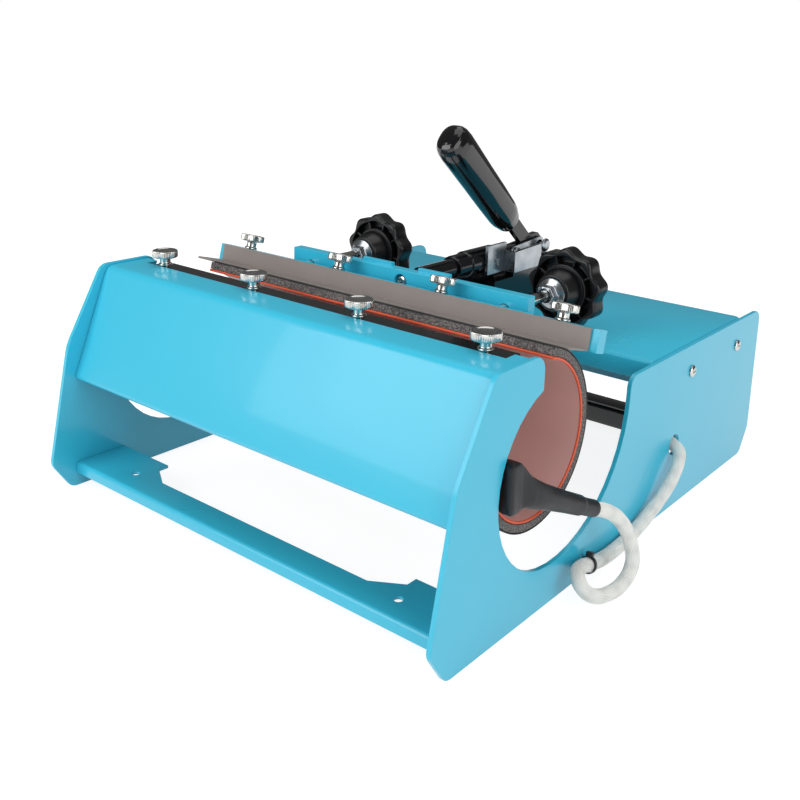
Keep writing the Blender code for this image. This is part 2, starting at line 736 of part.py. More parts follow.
def key(number, x, material):
    """One key: a round cap whose flange is held behind the panel."""
    face = panel_face()
    flange_radius = KEY_RADIUS + 1.2 * MM
    flange_front = -PANEL_THICKNESS - GAP
    profile = [
        (0, KEY_PROUD), (KEY_RADIUS * 0.85, KEY_PROUD), (KEY_RADIUS, KEY_PROUD - 0.6 * MM),
        (KEY_RADIUS, flange_front), (flange_radius, flange_front),
        (flange_radius, flange_front - 1.5 * MM), (0, flange_front - 1.5 * MM),
    ]
    name = "key_%d" % number
    item = add_turned(name, profile, (x, face, CONTROL_Z), material, (0, 1, 0), segments=14)
    return item


def rocker_switch(dark, red):
    """Switch frame in the panel, and the rocker that tilts in it."""
    face = panel_face()
    frame_outer = slot_outline(ROCKER_X, grown(ROCKER_SIZE, ROCKER_FRAME), 2 * MM)
    frame_inner = slot_outline(ROCKER_X, grown(ROCKER_SIZE, -GAP), 1 * MM)
    frame = add_outline(
        "switch_frame", [frame_outer, frame_inner], 2 * MM, (0, face + GAP + 1 * MM, 0),
        FRONT_VIEW, dark,
    )
    half_width = ROCKER_SIZE[0] / 2 - 3 * GAP
    half_height = ROCKER_SIZE[1] / 2 - 5 * GAP
    pivot_depth = -3 * MM
    crest = 6.5 * MM
    tilt = math.tan(ROCKER_TILT / 2) * half_height
    outline = [
        (pivot_depth, -half_height * 0.6), (crest - 2 * tilt, -half_height), (crest, 0),
        (crest, half_height * 0.9), (pivot_depth, half_height * 0.6),
    ]
    rocker = add_outline(
        "rocker", [outline], 2 * half_width, (ROCKER_X, face, CONTROL_Z), SIDE_VIEW, red,
    )
    carry("rocker_axis", (ROCKER_X, face, CONTROL_Z), [rocker])
    return [frame, rocker]


def mains_inlet(material):
    """Three-pole mains inlet: a body through the panel, a flange and a socket."""
    face = panel_face()
    half_width, half_height = (s / 2 - GAP for s in INLET_SIZE)
    low = (INLET_X - half_width, face - INLET_DEPTH, CONTROL_Z - half_height)
    high = (INLET_X + half_width, face + 3 * MM, CONTROL_Z + half_height)
    body = add_box("mains_inlet", low, high, material, bevel=2 * MM)
    flange = add_box(
        "inlet_flange",
        (low[0] - 5 * MM, face + GAP, low[2] - 2 * MM),
        (high[0] + 5 * MM, face + 2.5 * MM, high[2] + 2 * MM), None,
    )
    use_tool(body, flange, "UNION")
    wall = 2 * MM
    socket = add_box(
        "inlet_socket",
        (low[0] + wall, face - INLET_DEPTH + 8 * MM, low[2] + wall),
        (high[0] - wall, face + 9 * MM, high[2] - wall), None,
    )
    use_tool(body, socket)
    for offset, height in ((-7 * MM, -2 * MM), (0, 3 * MM), (7 * MM, -2 * MM)):
        x = INLET_X + offset
        z = CONTROL_Z + height
        pin = add_box(
            "inlet_pin", (x - 1 * MM, face - INLET_DEPTH + 6 * MM, z - 2 * MM),
            (x + 1 * MM, face - 3 * MM, z + 2 * MM), None,
        )
        use_tool(body, pin, "UNION")
    return body


def electronics(board_material, relay_material, brass):
    """Circuit board on its standoff pillars behind the panel, with the relay on it."""
    inside = panel_face() - PANEL_THICKNESS
    board_front = inside - GAP - STANDOFF - GAP
    board_back = board_front - BOARD_THICKNESS
    middle_x = DISPLAY_X - 30 * MM
    half_width, half_height = BOARD_SIZE[0] / 2, BOARD_SIZE[1] / 2
    board = add_box(
        "circuit_board", (middle_x - half_width, board_back, CONTROL_Z - half_height),
        (middle_x + half_width, board_front, CONTROL_Z + half_height), board_material,
    )
    relay_face = board_back - GAP
    relay = add_box(
        "relay",
        (middle_x - RELAY_SIZE[0] / 2, relay_face - RELAY_SIZE[1], CONTROL_Z - RELAY_SIZE[2] / 2),
        (middle_x + RELAY_SIZE[0] / 2, relay_face, CONTROL_Z + RELAY_SIZE[2] / 2),
        relay_material, bevel=0.8 * MM,
    )
    pillars = []
    for side, name in ((-1, "board_pillar_left"), (1, "board_pillar_right")):
        x = middle_x + side * (half_width - 4 * MM)
        z = CONTROL_Z - half_height + 4 * MM
        pillars.append(add_rod(name, (x, board_front + GAP, z), (x, inside - GAP, z), 2.5 * MM, brass, 8))
    return [board, relay] + pillars


# ---------------------------------------------------------------- mat and its holders

def mat_layer(name, inner_radius, thickness, material):
    """One layer of the mat, from under the clamp bar round the bore to the flap on top."""
    centre = (BORE_BACK, BORE_HEIGHT)
    path = arc(centre, inner_radius, MAT_FRONT_ANGLE, MAT_REAR_ANGLE + 2 * math.pi)
    return add_sheet(name, path, MAT_LEFT_END, MAT_RIGHT_END, thickness, material)


def heating_mat(liner_material, foam_material, skin_material):
    """Heater with its liner, foam and outer skin, one inside the other."""
    foam_radius = BORE_RADIUS + LINER_THICKNESS + GAP
    skin_radius = foam_radius + FOAM_THICKNESS + GAP
    return [
        mat_layer("mat_heater", BORE_RADIUS, LINER_THICKNESS, liner_material),
        mat_layer("mat_foam", foam_radius, FOAM_THICKNESS, foam_material),
        mat_layer("mat_skin", skin_radius, SKIN_THICKNESS, skin_material),
    ]


def screw_holes():
    """Rings for the four thumbscrews, about their own line."""
    return [circle((x, 0), THUMB_STEM_RADIUS + HOLE_PLAY, 12) for x in SCREW_XS]


def front_clamp(bar_material, bracket_material):
    """Clamp bar in the cover's notch, and the mat bracket that it presses on."""
    front = NOTCH_BACK - CLAMP_BAR_UNDER_COVER - SCREW_BACK
    rear = front + CLAMP_BAR_WIDTH
    half = NOTCH_HALF - 1 * MM
    loops = [rounded(rectangle(half, front, rear), [3 * MM] * 4)] + screw_holes()
    z = CLAMP_BAR_TOP - CLAMP_BAR_THICKNESS / 2
    bar = add_outline(
        "front_clamp_bar", loops, CLAMP_BAR_THICKNESS, (0, back(SCREW_BACK), z), TOP_VIEW,
        bar_material,
    )
    bracket_loops = [
        rectangle(FRONT_BRACKET_HALF, front - FRONT_BRACKET_FORWARD, rear - 3 * MM)
    ] + screw_holes()
    z = FRONT_BRACKET_TOP - BRACKET_THICKNESS / 2
    bracket = add_outline(
        "mat_bracket_front", bracket_loops, BRACKET_THICKNESS, (0, back(SCREW_BACK), z), TOP_VIEW,
        bracket_material,
    )
    return [bar, bracket]


def thumbscrew(name, x, y, seat, material):
    """Knurled thumbscrew that stands on its seat."""
    head_low = THUMB_COLLAR
    head_top = THUMB_COLLAR + THUMB_HEAD
    profile = [
        (0, head_top - 0.6 * MM), (THUMB_HEAD_RADIUS * 0.75, head_top - 0.3 * MM),
        (THUMB_HEAD_RADIUS - 0.8 * MM, head_top), (THUMB_HEAD_RADIUS, head_top - 0.8 * MM),
        (THUMB_HEAD_RADIUS, head_low + 0.8 * MM), (THUMB_HEAD_RADIUS - 0.8 * MM, head_low),
        (THUMB_COLLAR_RADIUS, head_low), (THUMB_COLLAR_RADIUS, 0), (THUMB_STEM_RADIUS, 0),
        (THUMB_STEM_RADIUS, -THUMB_STEM), (0, -THUMB_STEM),
    ]
    return add_turned(name, profile, (x, y, seat), material)


# ---------------------------------------------------------------- moving jaw

def jaw(blue, steel):
    """Jaw bar with its rod sockets, and the grey bracket that holds the mat's rear end."""
    middle = JAW_THICKNESS / 2
    hole_y = JAW_BACK + middle
    loops = [rectangle(JAW_HALF_LENGTH, -middle, middle)] + screw_holes()
    z = JAW_TOP - JAW_HEIGHT / 2
    bar = add_outline("jaw_bar", loops, JAW_HEIGHT, (0, back(hole_y), z), TOP_VIEW, blue)
    bar = to_mesh(bar)
    for side in (-1, 1):
        rear = back(JAW_BACK + JAW_THICKNESS)
        start = (side * ROD_X, rear - ROD_SOCKET, ROD_HEIGHT)
        end = (side * ROD_X, rear + 5 * MM, ROD_HEIGHT)
        use_tool(bar, add_rod("rod_socket", start, end, ROD_RADIUS + HOLE_PLAY, None))
    low = JAW_TOP - JAW_HEIGHT + GAP
    face = JAW_BACK - GAP
    path = [(mat_contact_back(low), low), (face, low), (face, JAW_TOP)]
    bracket = add_sheet(
        "mat_bracket_rear", path, -REAR_BRACKET_HALF, REAR_BRACKET_HALF, BRACKET_THICKNESS, steel,
        inner=False,
    )
    return [bar, bracket]


def mat_contact_back(height):
    """How far back the bracket's edge starts at this height, so that it tilts to the mat's skin."""
    along = Vector((math.cos(JAW_TILT), -math.sin(JAW_TILT)))
    upright = Vector((math.sin(JAW_TILT), math.cos(JAW_TILT)))
    start = Vector((JAW_BACK - BORE_BACK, JAW_TOP - BORE_HEIGHT)) + upright * (height - JAW_TOP)
    reach = MAT_OUTER_RADIUS + GAP
    share = start.dot(along)
    return JAW_BACK - share + math.sqrt(share ** 2 - start.length_squared + reach ** 2)


def push_bar(material):
    """Short bar that the plunger pushes, with two lips on its rear top edge."""
    low = AXIS_HEIGHT + PUSH_BAR_RISE - PUSH_BAR_HEIGHT
    high = AXIS_HEIGHT + PUSH_BAR_RISE
    loops = [rectangle(PUSH_BAR_HALF_LENGTH, low, high)]
    for x, radius in ((-ROD_X, ROD_RADIUS), (0, PIN_RADIUS), (ROD_X, ROD_RADIUS)):
        loops.append(circle((x, AXIS_HEIGHT if x == 0 else ROD_HEIGHT), radius + HOLE_PLAY))
    y = back(PUSH_BAR_BACK) + PUSH_BAR_THICKNESS / 2
    bar = to_mesh(add_outline("push_bar", loops, PUSH_BAR_THICKNESS, (0, y, 0), FRONT_VIEW, material))
    counterbore = add_rod(
        "push_bar_counterbore", (0, back(PUSH_BAR_BACK) - 5 * MM, AXIS_HEIGHT),
        (0, back(PUSH_BAR_BACK) + COUNTERBORE_DEPTH, AXIS_HEIGHT), COUNTERBORE_RADIUS, None,
    )
    use_tool(bar, counterbore)
    rear = back(PUSH_BAR_BACK + PUSH_BAR_THICKNESS)
    for side in (-1, 1):
        ends = sorted((side * LIP_INNER, side * (LIP_INNER + LIP_LENGTH)))
        lip = add_box(
            "push_bar_lip", (ends[0], rear - PUSH_BAR_THICKNESS * 0.45, high - 1 * MM),
            (ends[1], rear, high + LIP_HEIGHT), None,
        )
        use_tool(bar, lip, "UNION")
    return bar


def adjusting_rod(side, material):
    """Rod from the jaw bar's socket through the push bar into its star knob."""
    name = "adjusting_rod_right" if side > 0 else "adjusting_rod_left"
    start = back(JAW_BACK + JAW_THICKNESS) - ROD_REACH
    end = back(KNOB_BACK) + KNOB_BORE_DEPTH - GAP
    z = ROD_HEIGHT
    return add_rod(name, (side * ROD_X, start, z), (side * ROD_X, end, z), ROD_RADIUS, material)


def star_knob(side, material):
    """Lobed knob with a ring-shaped recess in its front, a hub before it and a blind bore."""
    name = "star_knob_right" if side > 0 else "star_knob_left"
    waist = KNOB_RADIUS - KNOB_LOBE_DEPTH
    steps = KNOB_LOBES * 6
    outline = []
    for i in range(steps):
        angle = 2 * math.pi * i / steps
        radius = waist + KNOB_LOBE_DEPTH * math.cos(KNOB_LOBES * angle / 2) ** 2
        outline.append((radius * math.cos(angle), radius * math.sin(angle)))
    x = side * ROD_X
    front = back(KNOB_BACK)
    star_front = front + KNOB_HUB_LENGTH
    middle = (x, star_front + KNOB_THICKNESS / 2, ROD_HEIGHT)
    knob = to_mesh(add_outline(name, [outline], KNOB_THICKNESS, middle, FRONT_VIEW, material))
    ring = [
        (KNOB_RECESS_OUTER, KNOB_RECESS_DEPTH), (KNOB_RECESS_OUTER, -KNOB_RECESS_DEPTH),
        (KNOB_RECESS_INNER, -KNOB_RECESS_DEPTH), (KNOB_RECESS_INNER, KNOB_RECESS_DEPTH),
    ]
    recess = add_turned("knob_recess", ring, (x, star_front, ROD_HEIGHT), None, (0, -1, 0), 24)
    use_tool(knob, recess)
    hub = add_rod(
        "knob_hub", (x, front, ROD_HEIGHT), (x, star_front + KNOB_THICKNESS / 2, ROD_HEIGHT),
        KNOB_HUB_RADIUS, None, 24,
    )
    use_tool(knob, hub, "UNION")
    bore = add_rod(
        "knob_bore", (x, front - 5 * MM, ROD_HEIGHT), (x, front + KNOB_BORE_DEPTH, ROD_HEIGHT),
        ROD_RADIUS + HOLE_PLAY, None,
    )
    use_tool(knob, bore)
    return knob


def flange_nut(side, material):
    """Flanged nut on the rod, against the star knob."""
    name = "flange_nut_right" if side > 0 else "flange_nut_left"
    hole = ROD_RADIUS + HOLE_PLAY
    length = NUT_LENGTH + NUT_FLANGE
    profile = [
        (hole, length), (NUT_RADIUS, length), (NUT_RADIUS, NUT_FLANGE),
        (NUT_FLANGE_RADIUS, NUT_FLANGE * 0.6), (NUT_FLANGE_RADIUS, 0), (hole, 0),
    ]
    location = (side * ROD_X, back(KNOB_BACK) - GAP, ROD_HEIGHT)
    return add_turned(name, profile, location, material, (0, -1, 0))


# ---------------------------------------------------------------- toggle clamp

def clamp_body(material):
    """Black clamp body in one casting: base plate, web, guide barrel and two pivot walls."""
    base_low = DECK_FLOOR
    base_high = base_low + CLAMP_BASE_THICKNESS
    body = add_box(
        "clamp_body", (-CLAMP_BASE_HALF, back(CLAMP_BASE_BACK), base_low),
        (CLAMP_BASE_HALF, back(CLAMP_BASE_BACK + CLAMP_BASE_DEPTH), base_high), material,
    )
    web = add_box(
        "clamp_web", (-6 * MM, back(CLAMP_BASE_BACK + 2 * MM), base_high - 1 * MM),
        (6 * MM, back(BARREL_BACK + BARREL_LENGTH - 4 * MM), AXIS_HEIGHT - PLUNGER_RADIUS), None,
    )
    use_tool(body, web, "UNION")
    shoulder = add_box(
        "clamp_shoulder", (-WALL_OUTER, back(BRACKET_FRONT_BACK), base_high - 1 * MM),
        (WALL_OUTER, back(WALL_BACK + 1 * MM), SHOULDER_TOP), None,
    )
    use_tool(body, shoulder, "UNION")
    for side in (-1, 1):
        low_x, high_x = sorted((side * WALL_INNER, side * WALL_OUTER))
        wall = add_box(
            "clamp_wall", (low_x, back(WALL_BACK), base_high - 1 * MM),
            (high_x, back(WALL_END), WALL_TOP), None,
        )
        use_tool(body, wall, "UNION")
    start = (0, back(BARREL_BACK), AXIS_HEIGHT)
    end = (0, back(BARREL_BACK + BARREL_LENGTH), AXIS_HEIGHT)
    use_tool(body, add_rod("barrel", start, end, BARREL_RADIUS, None, 20), "UNION")
    step = (0, back(BARREL_BACK + BARREL_STEP), AXIS_HEIGHT)
    use_tool(body, add_rod("barrel_rear", step, end, BARREL_REAR_RADIUS, None, 20), "UNION")
    start = (0, back(BARREL_BACK - 10 * MM), AXIS_HEIGHT)
    end = (0, back(BARREL_BACK + BARREL_LENGTH + 10 * MM), AXIS_HEIGHT)
    use_tool(body, add_rod("barrel_bore", start, end, PLUNGER_RADIUS + HOLE_PLAY, None, 20))
    start = (-WALL_OUTER * 2, back(PIVOT_BACK), PIVOT_HEIGHT)
    end = (WALL_OUTER * 2, back(PIVOT_BACK), PIVOT_HEIGHT)
    use_tool(body, add_rod("pivot_hole", start, end, PIVOT_RADIUS + HOLE_PLAY, None, 12))
    return body


def clamp_bracket(material):
    """Zinc bracket on the right of the barrel: a narrow front that steps out to an ear at the pivot."""
    narrow, wide, plate = BRACKET_NECK_HALF, BRACKET_WIDE_HALF, BRACKET_PLATE
    step = BRACKET_STEP_BACK
    height = BRACKET_NECK_TOP - BRACKET_LOW
    outline = [
        (narrow, BRACKET_FRONT_BACK), (narrow, step), (wide, step), (wide, BRACKET_REAR_BACK),
        (wide - plate, BRACKET_REAR_BACK), (wide - plate, step + plate), (narrow - plate, step + plate),
        (narrow - plate, BRACKET_FRONT_BACK),
    ]
    middle = (0, back(0), BRACKET_LOW + height / 2)
    bracket = to_mesh(add_outline("clamp_bracket", [outline], height, middle, TOP_VIEW, material))
    ear_top = [
        (step - 2 * MM, BRACKET_NECK_TOP + 5 * MM), (step - 2 * MM, BRACKET_WIDE_TOP),
        (BRACKET_REAR_BACK + 2 * MM, BRACKET_REAR_TOP),
        (BRACKET_REAR_BACK + 2 * MM, BRACKET_NECK_TOP + 5 * MM),
    ]
    low_x = narrow + 0.01 * MM
    high_x = wide + plate
    trim = add_outline("ear_trim", [ear_top], high_x - low_x, ((low_x + high_x) / 2, back(0), 0), SIDE_VIEW, None)
    use_tool(bracket, to_mesh(trim))
    start = (narrow - 0.5 * MM, back(RIVET_BACK), AXIS_HEIGHT)
    end = (narrow + RIVET_HEAD, back(RIVET_BACK), AXIS_HEIGHT)
    use_tool(bracket, add_rod("rivet", start, end, RIVET_RADIUS, None, 12), "UNION")
    return bracket


def plunger(material):
    """Plunger: nose against the push bar, sleeve in the barrel, flat tongue with a pin hole."""
    z = AXIS_HEIGHT
    nose = add_rod(
        "plunger", (0, back(PUSH_BAR_BACK + PUSH_BAR_THICKNESS) + GAP, z),
        (0, back(PLUNGER_SLEEVE_BACK + 2 * MM), z), PLUNGER_NOSE_RADIUS, material,
    )
    sleeve_end = PLUNGER_PIN_BACK - TONGUE_LENGTH / 2
    sleeve = add_rod("sleeve", (0, back(PLUNGER_SLEEVE_BACK), z), (0, back(sleeve_end), z), PLUNGER_RADIUS, None, 20)
    use_tool(nose, sleeve, "UNION")
    tongue = add_box(
        "tongue", (-TONGUE_THICKNESS / 2, back(sleeve_end - 2 * MM), z - 5.5 * MM),
        (TONGUE_THICKNESS / 2, back(PLUNGER_PIN_BACK + 6 * MM), z + 5.5 * MM), None,
    )
    use_tool(nose, tongue, "UNION")
    start = (-20 * MM, back(PLUNGER_PIN_BACK), z)
    end = (20 * MM, back(PLUNGER_PIN_BACK), z)
    use_tool(nose, add_rod("tongue_hole", start, end, PIN_RADIUS + HOLE_PLAY, None, 12))
    return nose


def plunger_screw(material):
    """Cap screw in the push bar's middle, which holds the plunger's nose."""
    head = 3.5 * MM
    length = PUSH_BAR_THICKNESS - COUNTERBORE_DEPTH
    profile = [
        (0, head), (PIN_HEAD_RADIUS * 0.55, head), (PIN_HEAD_RADIUS, head * 0.7), (PIN_HEAD_RADIUS, GAP),
        (PIN_RADIUS, GAP), (PIN_RADIUS, -length), (0, -length),
    ]
    seat = (0, back(PUSH_BAR_BACK) + COUNTERBORE_DEPTH, AXIS_HEIGHT)
    return add_turned("plunger_screw", profile, seat, material, (0, -1, 0), 12)


def crank_pin_place():
    """Back distance and height of the pin that joins the lever to the links."""
    return (
        PIVOT_BACK + CRANK_RADIUS * math.cos(CRANK_ANGLE),
        PIVOT_HEIGHT + CRANK_RADIUS * math.sin(CRANK_ANGLE),
    )


def toggle_link(side, material):
    """Flat link from the plunger's pin to the lever's crank pin, whose eye has slack there."""
    name = "toggle_link_right" if side > 0 else "toggle_link_left"
    crank_back, crank_height = crank_pin_place()
    eye = (crank_back, crank_height - LINK_SLACK / 3)
    near = (PLUNGER_PIN_BACK, AXIS_HEIGHT)
    quarter = math.pi / 2
    outline = arc(near, LINK_EYE_RADIUS * 0.8, quarter, 3 * quarter) + arc(eye, LINK_EYE_RADIUS, -quarter, quarter)
    loops = [
        outline, circle(near, PIN_RADIUS + HOLE_PLAY, 12), circle(eye, PIN_RADIUS + LINK_SLACK, 12),
    ]
    x = side * (LEVER_THICKNESS / 2 + GAP + LINK_THICKNESS / 2)
    return add_outline(name, loops, LINK_THICKNESS, (x, back(0), 0), SIDE_VIEW, material)


def cross_pin(name, place, radius, reach, head_radius, material):
    """Headed pin along X through the clamp, at a back distance and height."""
    inner = reach - PIN_HEAD
    profile = [
        (0, reach), (head_radius * 0.7, reach), (head_radius, reach - PIN_HEAD * 0.4),
        (head_radius, inner), (radius, inner), (radius, -inner), (head_radius, -inner),
        (head_radius, -reach + PIN_HEAD * 0.4), (head_radius * 0.7, -reach), (0, -reach),
    ]
    return add_turned(name, profile, (0, back(place[0]), place[1]), material, (1, 0, 0), 12)


def lever_point(along, across):
    """Back distance and height of a point on the lever, from its pivot."""
    cos, sin = math.cos(LEVER_ANGLE), math.sin(LEVER_ANGLE)
    return (
        PIVOT_BACK + along * cos + across * sin,
        PIVOT_HEIGHT + along * sin - across * cos,
    )


def handle_lever(material):
    """Lever plate: a yoke about the pivot and the crank pin, and a straight arm into the grip."""
    half = LEVER_WIDTH / 2
    corners = [
        lever_point(-8 * MM, -7 * MM), lever_point(-8 * MM, 8 * MM), lever_point(6 * MM, 14.5 * MM),
        lever_point(19 * MM, 14.5 * MM), lever_point(27 * MM, half), lever_point(LEVER_LENGTH, half),
        lever_point(LEVER_LENGTH, -half), lever_point(8 * MM, -half),
    ]
    outline = rounded(corners, [5 * MM, 5 * MM, 4 * MM, 4 * MM, 6 * MM, 1 * MM, 1 * MM, 4 * MM])
    loops = [
        outline, circle((PIVOT_BACK, PIVOT_HEIGHT), PIVOT_RADIUS + HOLE_PLAY, 12),
        circle(crank_pin_place(), PIN_RADIUS + HOLE_PLAY, 12),
    ]
    return add_outline("handle_lever", loops, LEVER_THICKNESS, (0, back(0), 0), SIDE_VIEW, material)


def handle_grip(material):
    """Oval grip with a domed end and a pocket for the lever."""
    cos, sin = math.cos(LEVER_ANGLE), math.sin(LEVER_ANGLE)
    along = Vector((0, cos, sin))
    across = Vector((0, -sin, cos))
    origin = Vector((0, back(PIVOT_BACK), PIVOT_HEIGHT))
    stations = ((0, 0.7), (0.03, 0.84), (0.1, 0.97), (0.5, 1.02), (0.88, 1.08), (0.94, 1.03), (0.985, 0.8), (1, 0.45))
    sections = []
    for share, swell in stations:
        centre = origin + along * (GRIP_START + GRIP_LENGTH * share) + across * GRIP_OFFSET
        sections.append((centre, Vector((GRIP_WIDTH / 2 * swell, 0, 0)), across * (GRIP_DEPTH / 2 * swell)))
    grip = add_loft("handle_grip", sections, material)
    pocket = add_box(
        "grip_pocket",
        (-LEVER_THICKNESS / 2 - HOLE_PLAY, -LEVER_WIDTH / 2 - HOLE_PLAY, GRIP_START - 5 * MM),
        (LEVER_THICKNESS / 2 + HOLE_PLAY, LEVER_WIDTH / 2 + HOLE_PLAY, LEVER_LENGTH + GAP), None,
    )
    place = Matrix.Translation(origin) @ along.to_track_quat("Z", "X").to_matrix().to_4x4()
    turn = Matrix.Rotation(math.pi / 2, 4, "Z")
    pocket.matrix_world = place @ turn @ Matrix.Translation(pocket.location)
    use_tool(grip, pocket)
    return grip


# ---------------------------------------------------------------- lead

LEAD_ROUTE = (
    # where the lead goes, point after point: x for a frame of 340 mm, back from the front, height
    (184.0, 134.5, 57.0), (187.0, 142.0, 54.0), (190.5, 150.0, 48.5), (194.0, 156.5, 39.5),
    (196.5, 161.0, 28.0), (198.0, 162.0, 17.5), (198.0, 157.5, 9.3), (197.3, 148.5, 5.4),
    (196.0, 139.0, 4.9), (193.5, 130.5, 5.6), (190.0, 123.5, 9.0), (185.8, 120.5, 15.0),
    (181.0, 125.5, 18.5), (178.0, 136.0, 16.5), (176.4, 147.0, 12.4), (175.4, 158.0, 9.0),
    (175.2, 172.0, 7.0), (175.2, 187.0, 6.8), (175.2, 203.0, 8.0), (175.3, 220.0, 11.4),
    (176.0, 236.5, 17.4), (177.4, 251.0, 26.2), (178.0, 262.0, 37.0), (175.5, 269.5, 45.5),
    (168.0, 273.0, 48.8), (160.0, 278.0, 50.0), (151.0, 289.0, 51.0), (142.0, 305.0, 53.0),
    (133.0, 322.0, 56.0), (123.0, 339.0, 60.0), (111.0, 353.0, 63.5), (97.0, 362.0, 66.0),
)
LEAD_POINTS_PER_SPAN = 2
LEAD_SHIFT = FRAME_WIDTH / 2 - 170 * MM


def smooth_route(corners, per_span):
    """A smooth curve through the route's points, as a list of points."""
    padded = [corners[0] * 2 - corners[1]] + corners + [corners[-1] * 2 - corners[-2]]
    points = []
    for i in range(1, len(padded) - 2):
        before, start, end, after = padded[i - 1:i + 3]
        for step in range(per_span):
            t = step / per_span
            points.append(
                ((2 * start) + (end - before) * t
                 + (2 * before - 5 * start + 4 * end - after) * t ** 2
                 + (3 * start - before - 3 * end + after) * t ** 3) / 2
            )
    points.append(corners[-1])
    return points


def heater_lead(material):
    """Lead from the boot, round its loop, along the plate and through it to the board."""
    corners = [Vector((x * MM + LEAD_SHIFT, back(y * MM), z * MM)) for x, y, z in LEAD_ROUTE]
    direction = (corners[1] - corners[0]).normalized()
    corners[0] = corners[0] + direction * 4 * GAP
    curve = bpy.data.curves.new("heater_lead", "CURVE")
    curve.dimensions = "3D"
    curve.bevel_depth = LEAD_RADIUS
    curve.bevel_resolution = 2
    curve.use_fill_caps = True
    points = smooth_route(corners, LEAD_POINTS_PER_SPAN)
    spline = curve.splines.new("POLY")
    spline.points.add(len(points) - 1)
    for point, place in zip(spline.points, points):
        point.co = (*place, 1)
    return add_object("heater_lead", curve, material, PARTS)


def lead_boot(material):
    """Moulded boot on the mat's end: a block, and a neck that tapers to the lead."""
    start_x = MAT_RIGHT_END + GAP
    low = (start_x, back(BOOT_BLOCK_LOW[0]), BOOT_BLOCK_LOW[1])
    high = (start_x + BOOT_BLOCK_LENGTH, back(BOOT_BLOCK_HIGH[0]), BOOT_BLOCK_HIGH[1])
    boot = add_box("lead_boot", low, high, material, bevel=4 * MM)
    root = Vector((start_x + BOOT_ROOT_RADIUS, back(BOOT_BLOCK_HIGH[0] - 8 * MM), BOOT_BLOCK_LOW[1] + 13 * MM))
    end = Vector((BOOT_END[0], back(BOOT_END[1]), BOOT_END[2]))
    neck = add_rod("boot_neck", root, end, BOOT_ROOT_RADIUS, None, 14, BOOT_END_RADIUS)
    use_tool(boot, neck, "UNION")
    return boot


def cable_tie(material):
    """Tie round the lead, where the plate's small hole lies."""
    points = smooth_route([Vector((x * MM + LEAD_SHIFT, back(y * MM), z * MM)) for x, y, z in LEAD_ROUTE], 1)
    at = points[14]
    along = points[15] - points[13]
    inner = LEAD_RADIUS + GAP
    profile = [
        (inner, TIE_WIDTH / 2), (inner + TIE_THICKNESS, TIE_WIDTH / 2),
        (inner + TIE_THICKNESS, -TIE_WIDTH / 2), (inner, -TIE_WIDTH / 2),
    ]
    return add_turned("cable_tie", profile, at, material, along, segments=14)


def build_frame(blue, black_gloss, chrome):
    """The fixed sheet-metal frame and its screws."""
    side_plate(-1, blue)
    side_plate(1, blue)
    front_cover(blue)
    front_base_strip(blue)
    rear_cross_bar(black_gloss)
    rear_deck(blue)
    for side in (-1, 1):
        for number, screw_back in enumerate(DECK_SCREW_BACKS, start=1):
            deck_screw(side, number, screw_back, chrome)


def build_controls(blue, black, glass, red, green, brass):
    """The control panel and what it holds."""
    control_panel(blue)
    display(black, glass)
    for number, x in enumerate(key_xs(), start=1):
        key(number, x, black)
    rocker_switch(black, red)
    mains_inlet(black)
    electronics(green, black, brass)


def build_jaw(blue, steel, chrome, black):
    """The moving jaw, with its rods, star knobs and thumbscrews."""
    leaning = jaw(blue, steel)
    middle_y = back(JAW_BACK + JAW_THICKNESS / 2)
    for number, x in enumerate(SCREW_XS, start=1):
        leaning.append(thumbscrew("rear_thumbscrew_%d" % number, x, middle_y, JAW_TOP + GAP, chrome))
    hinge = carry("jaw_tilt", (0, back(JAW_BACK), JAW_TOP), leaning)
    hinge.rotation_euler = (-JAW_TILT, 0, 0)
    push_bar(blue)
    plunger(black)
    plunger_screw(chrome)
    for side in (-1, 1):
        turning = [adjusting_rod(side, chrome), star_knob(side, black), flange_nut(side, chrome)]
        name = "knob_axis_right" if side > 0 else "knob_axis_left"
        carry(name, (side * ROD_X, back(KNOB_BACK), ROD_HEIGHT), turning)


def build_clamp(black, zinc, grip_black):
    """The toggle clamp on the deck."""
    clamp_body(black)
    clamp_bracket(zinc)
    for side in (-1, 1):
        toggle_link(side, zinc)
    pivot_reach = WALL_OUTER + GAP + PIN_HEAD
    cross_pin("lever_pivot_pin", (PIVOT_BACK, PIVOT_HEIGHT), PIVOT_RADIUS, pivot_reach, PIN_HEAD_RADIUS, zinc)
    link_reach = LEVER_THICKNESS / 2 + LINK_THICKNESS + 2 * GAP + PIN_HEAD
    cross_pin("plunger_pin", (PLUNGER_PIN_BACK, AXIS_HEIGHT), PIN_RADIUS, link_reach, PIN_HEAD_RADIUS, zinc)
    crank_reach = WALL_INNER - GAP
    crank = cross_pin("crank_pin", crank_pin_place(), PIN_RADIUS, crank_reach, LINK_EYE_RADIUS * 0.8, zinc)
    turning = [handle_lever(zinc), handle_grip(grip_black), crank]
    carry("lever_axis", (0, back(PIVOT_BACK), PIVOT_HEIGHT), turning)


def build_thumbscrews(chrome):
    """Four thumbscrews on the front clamp bar."""
    for number, x in enumerate(SCREW_XS, start=1):
        thumbscrew("front_thumbscrew_%d" % number, x, back(SCREW_BACK), COVER_TOP + GAP, chrome)


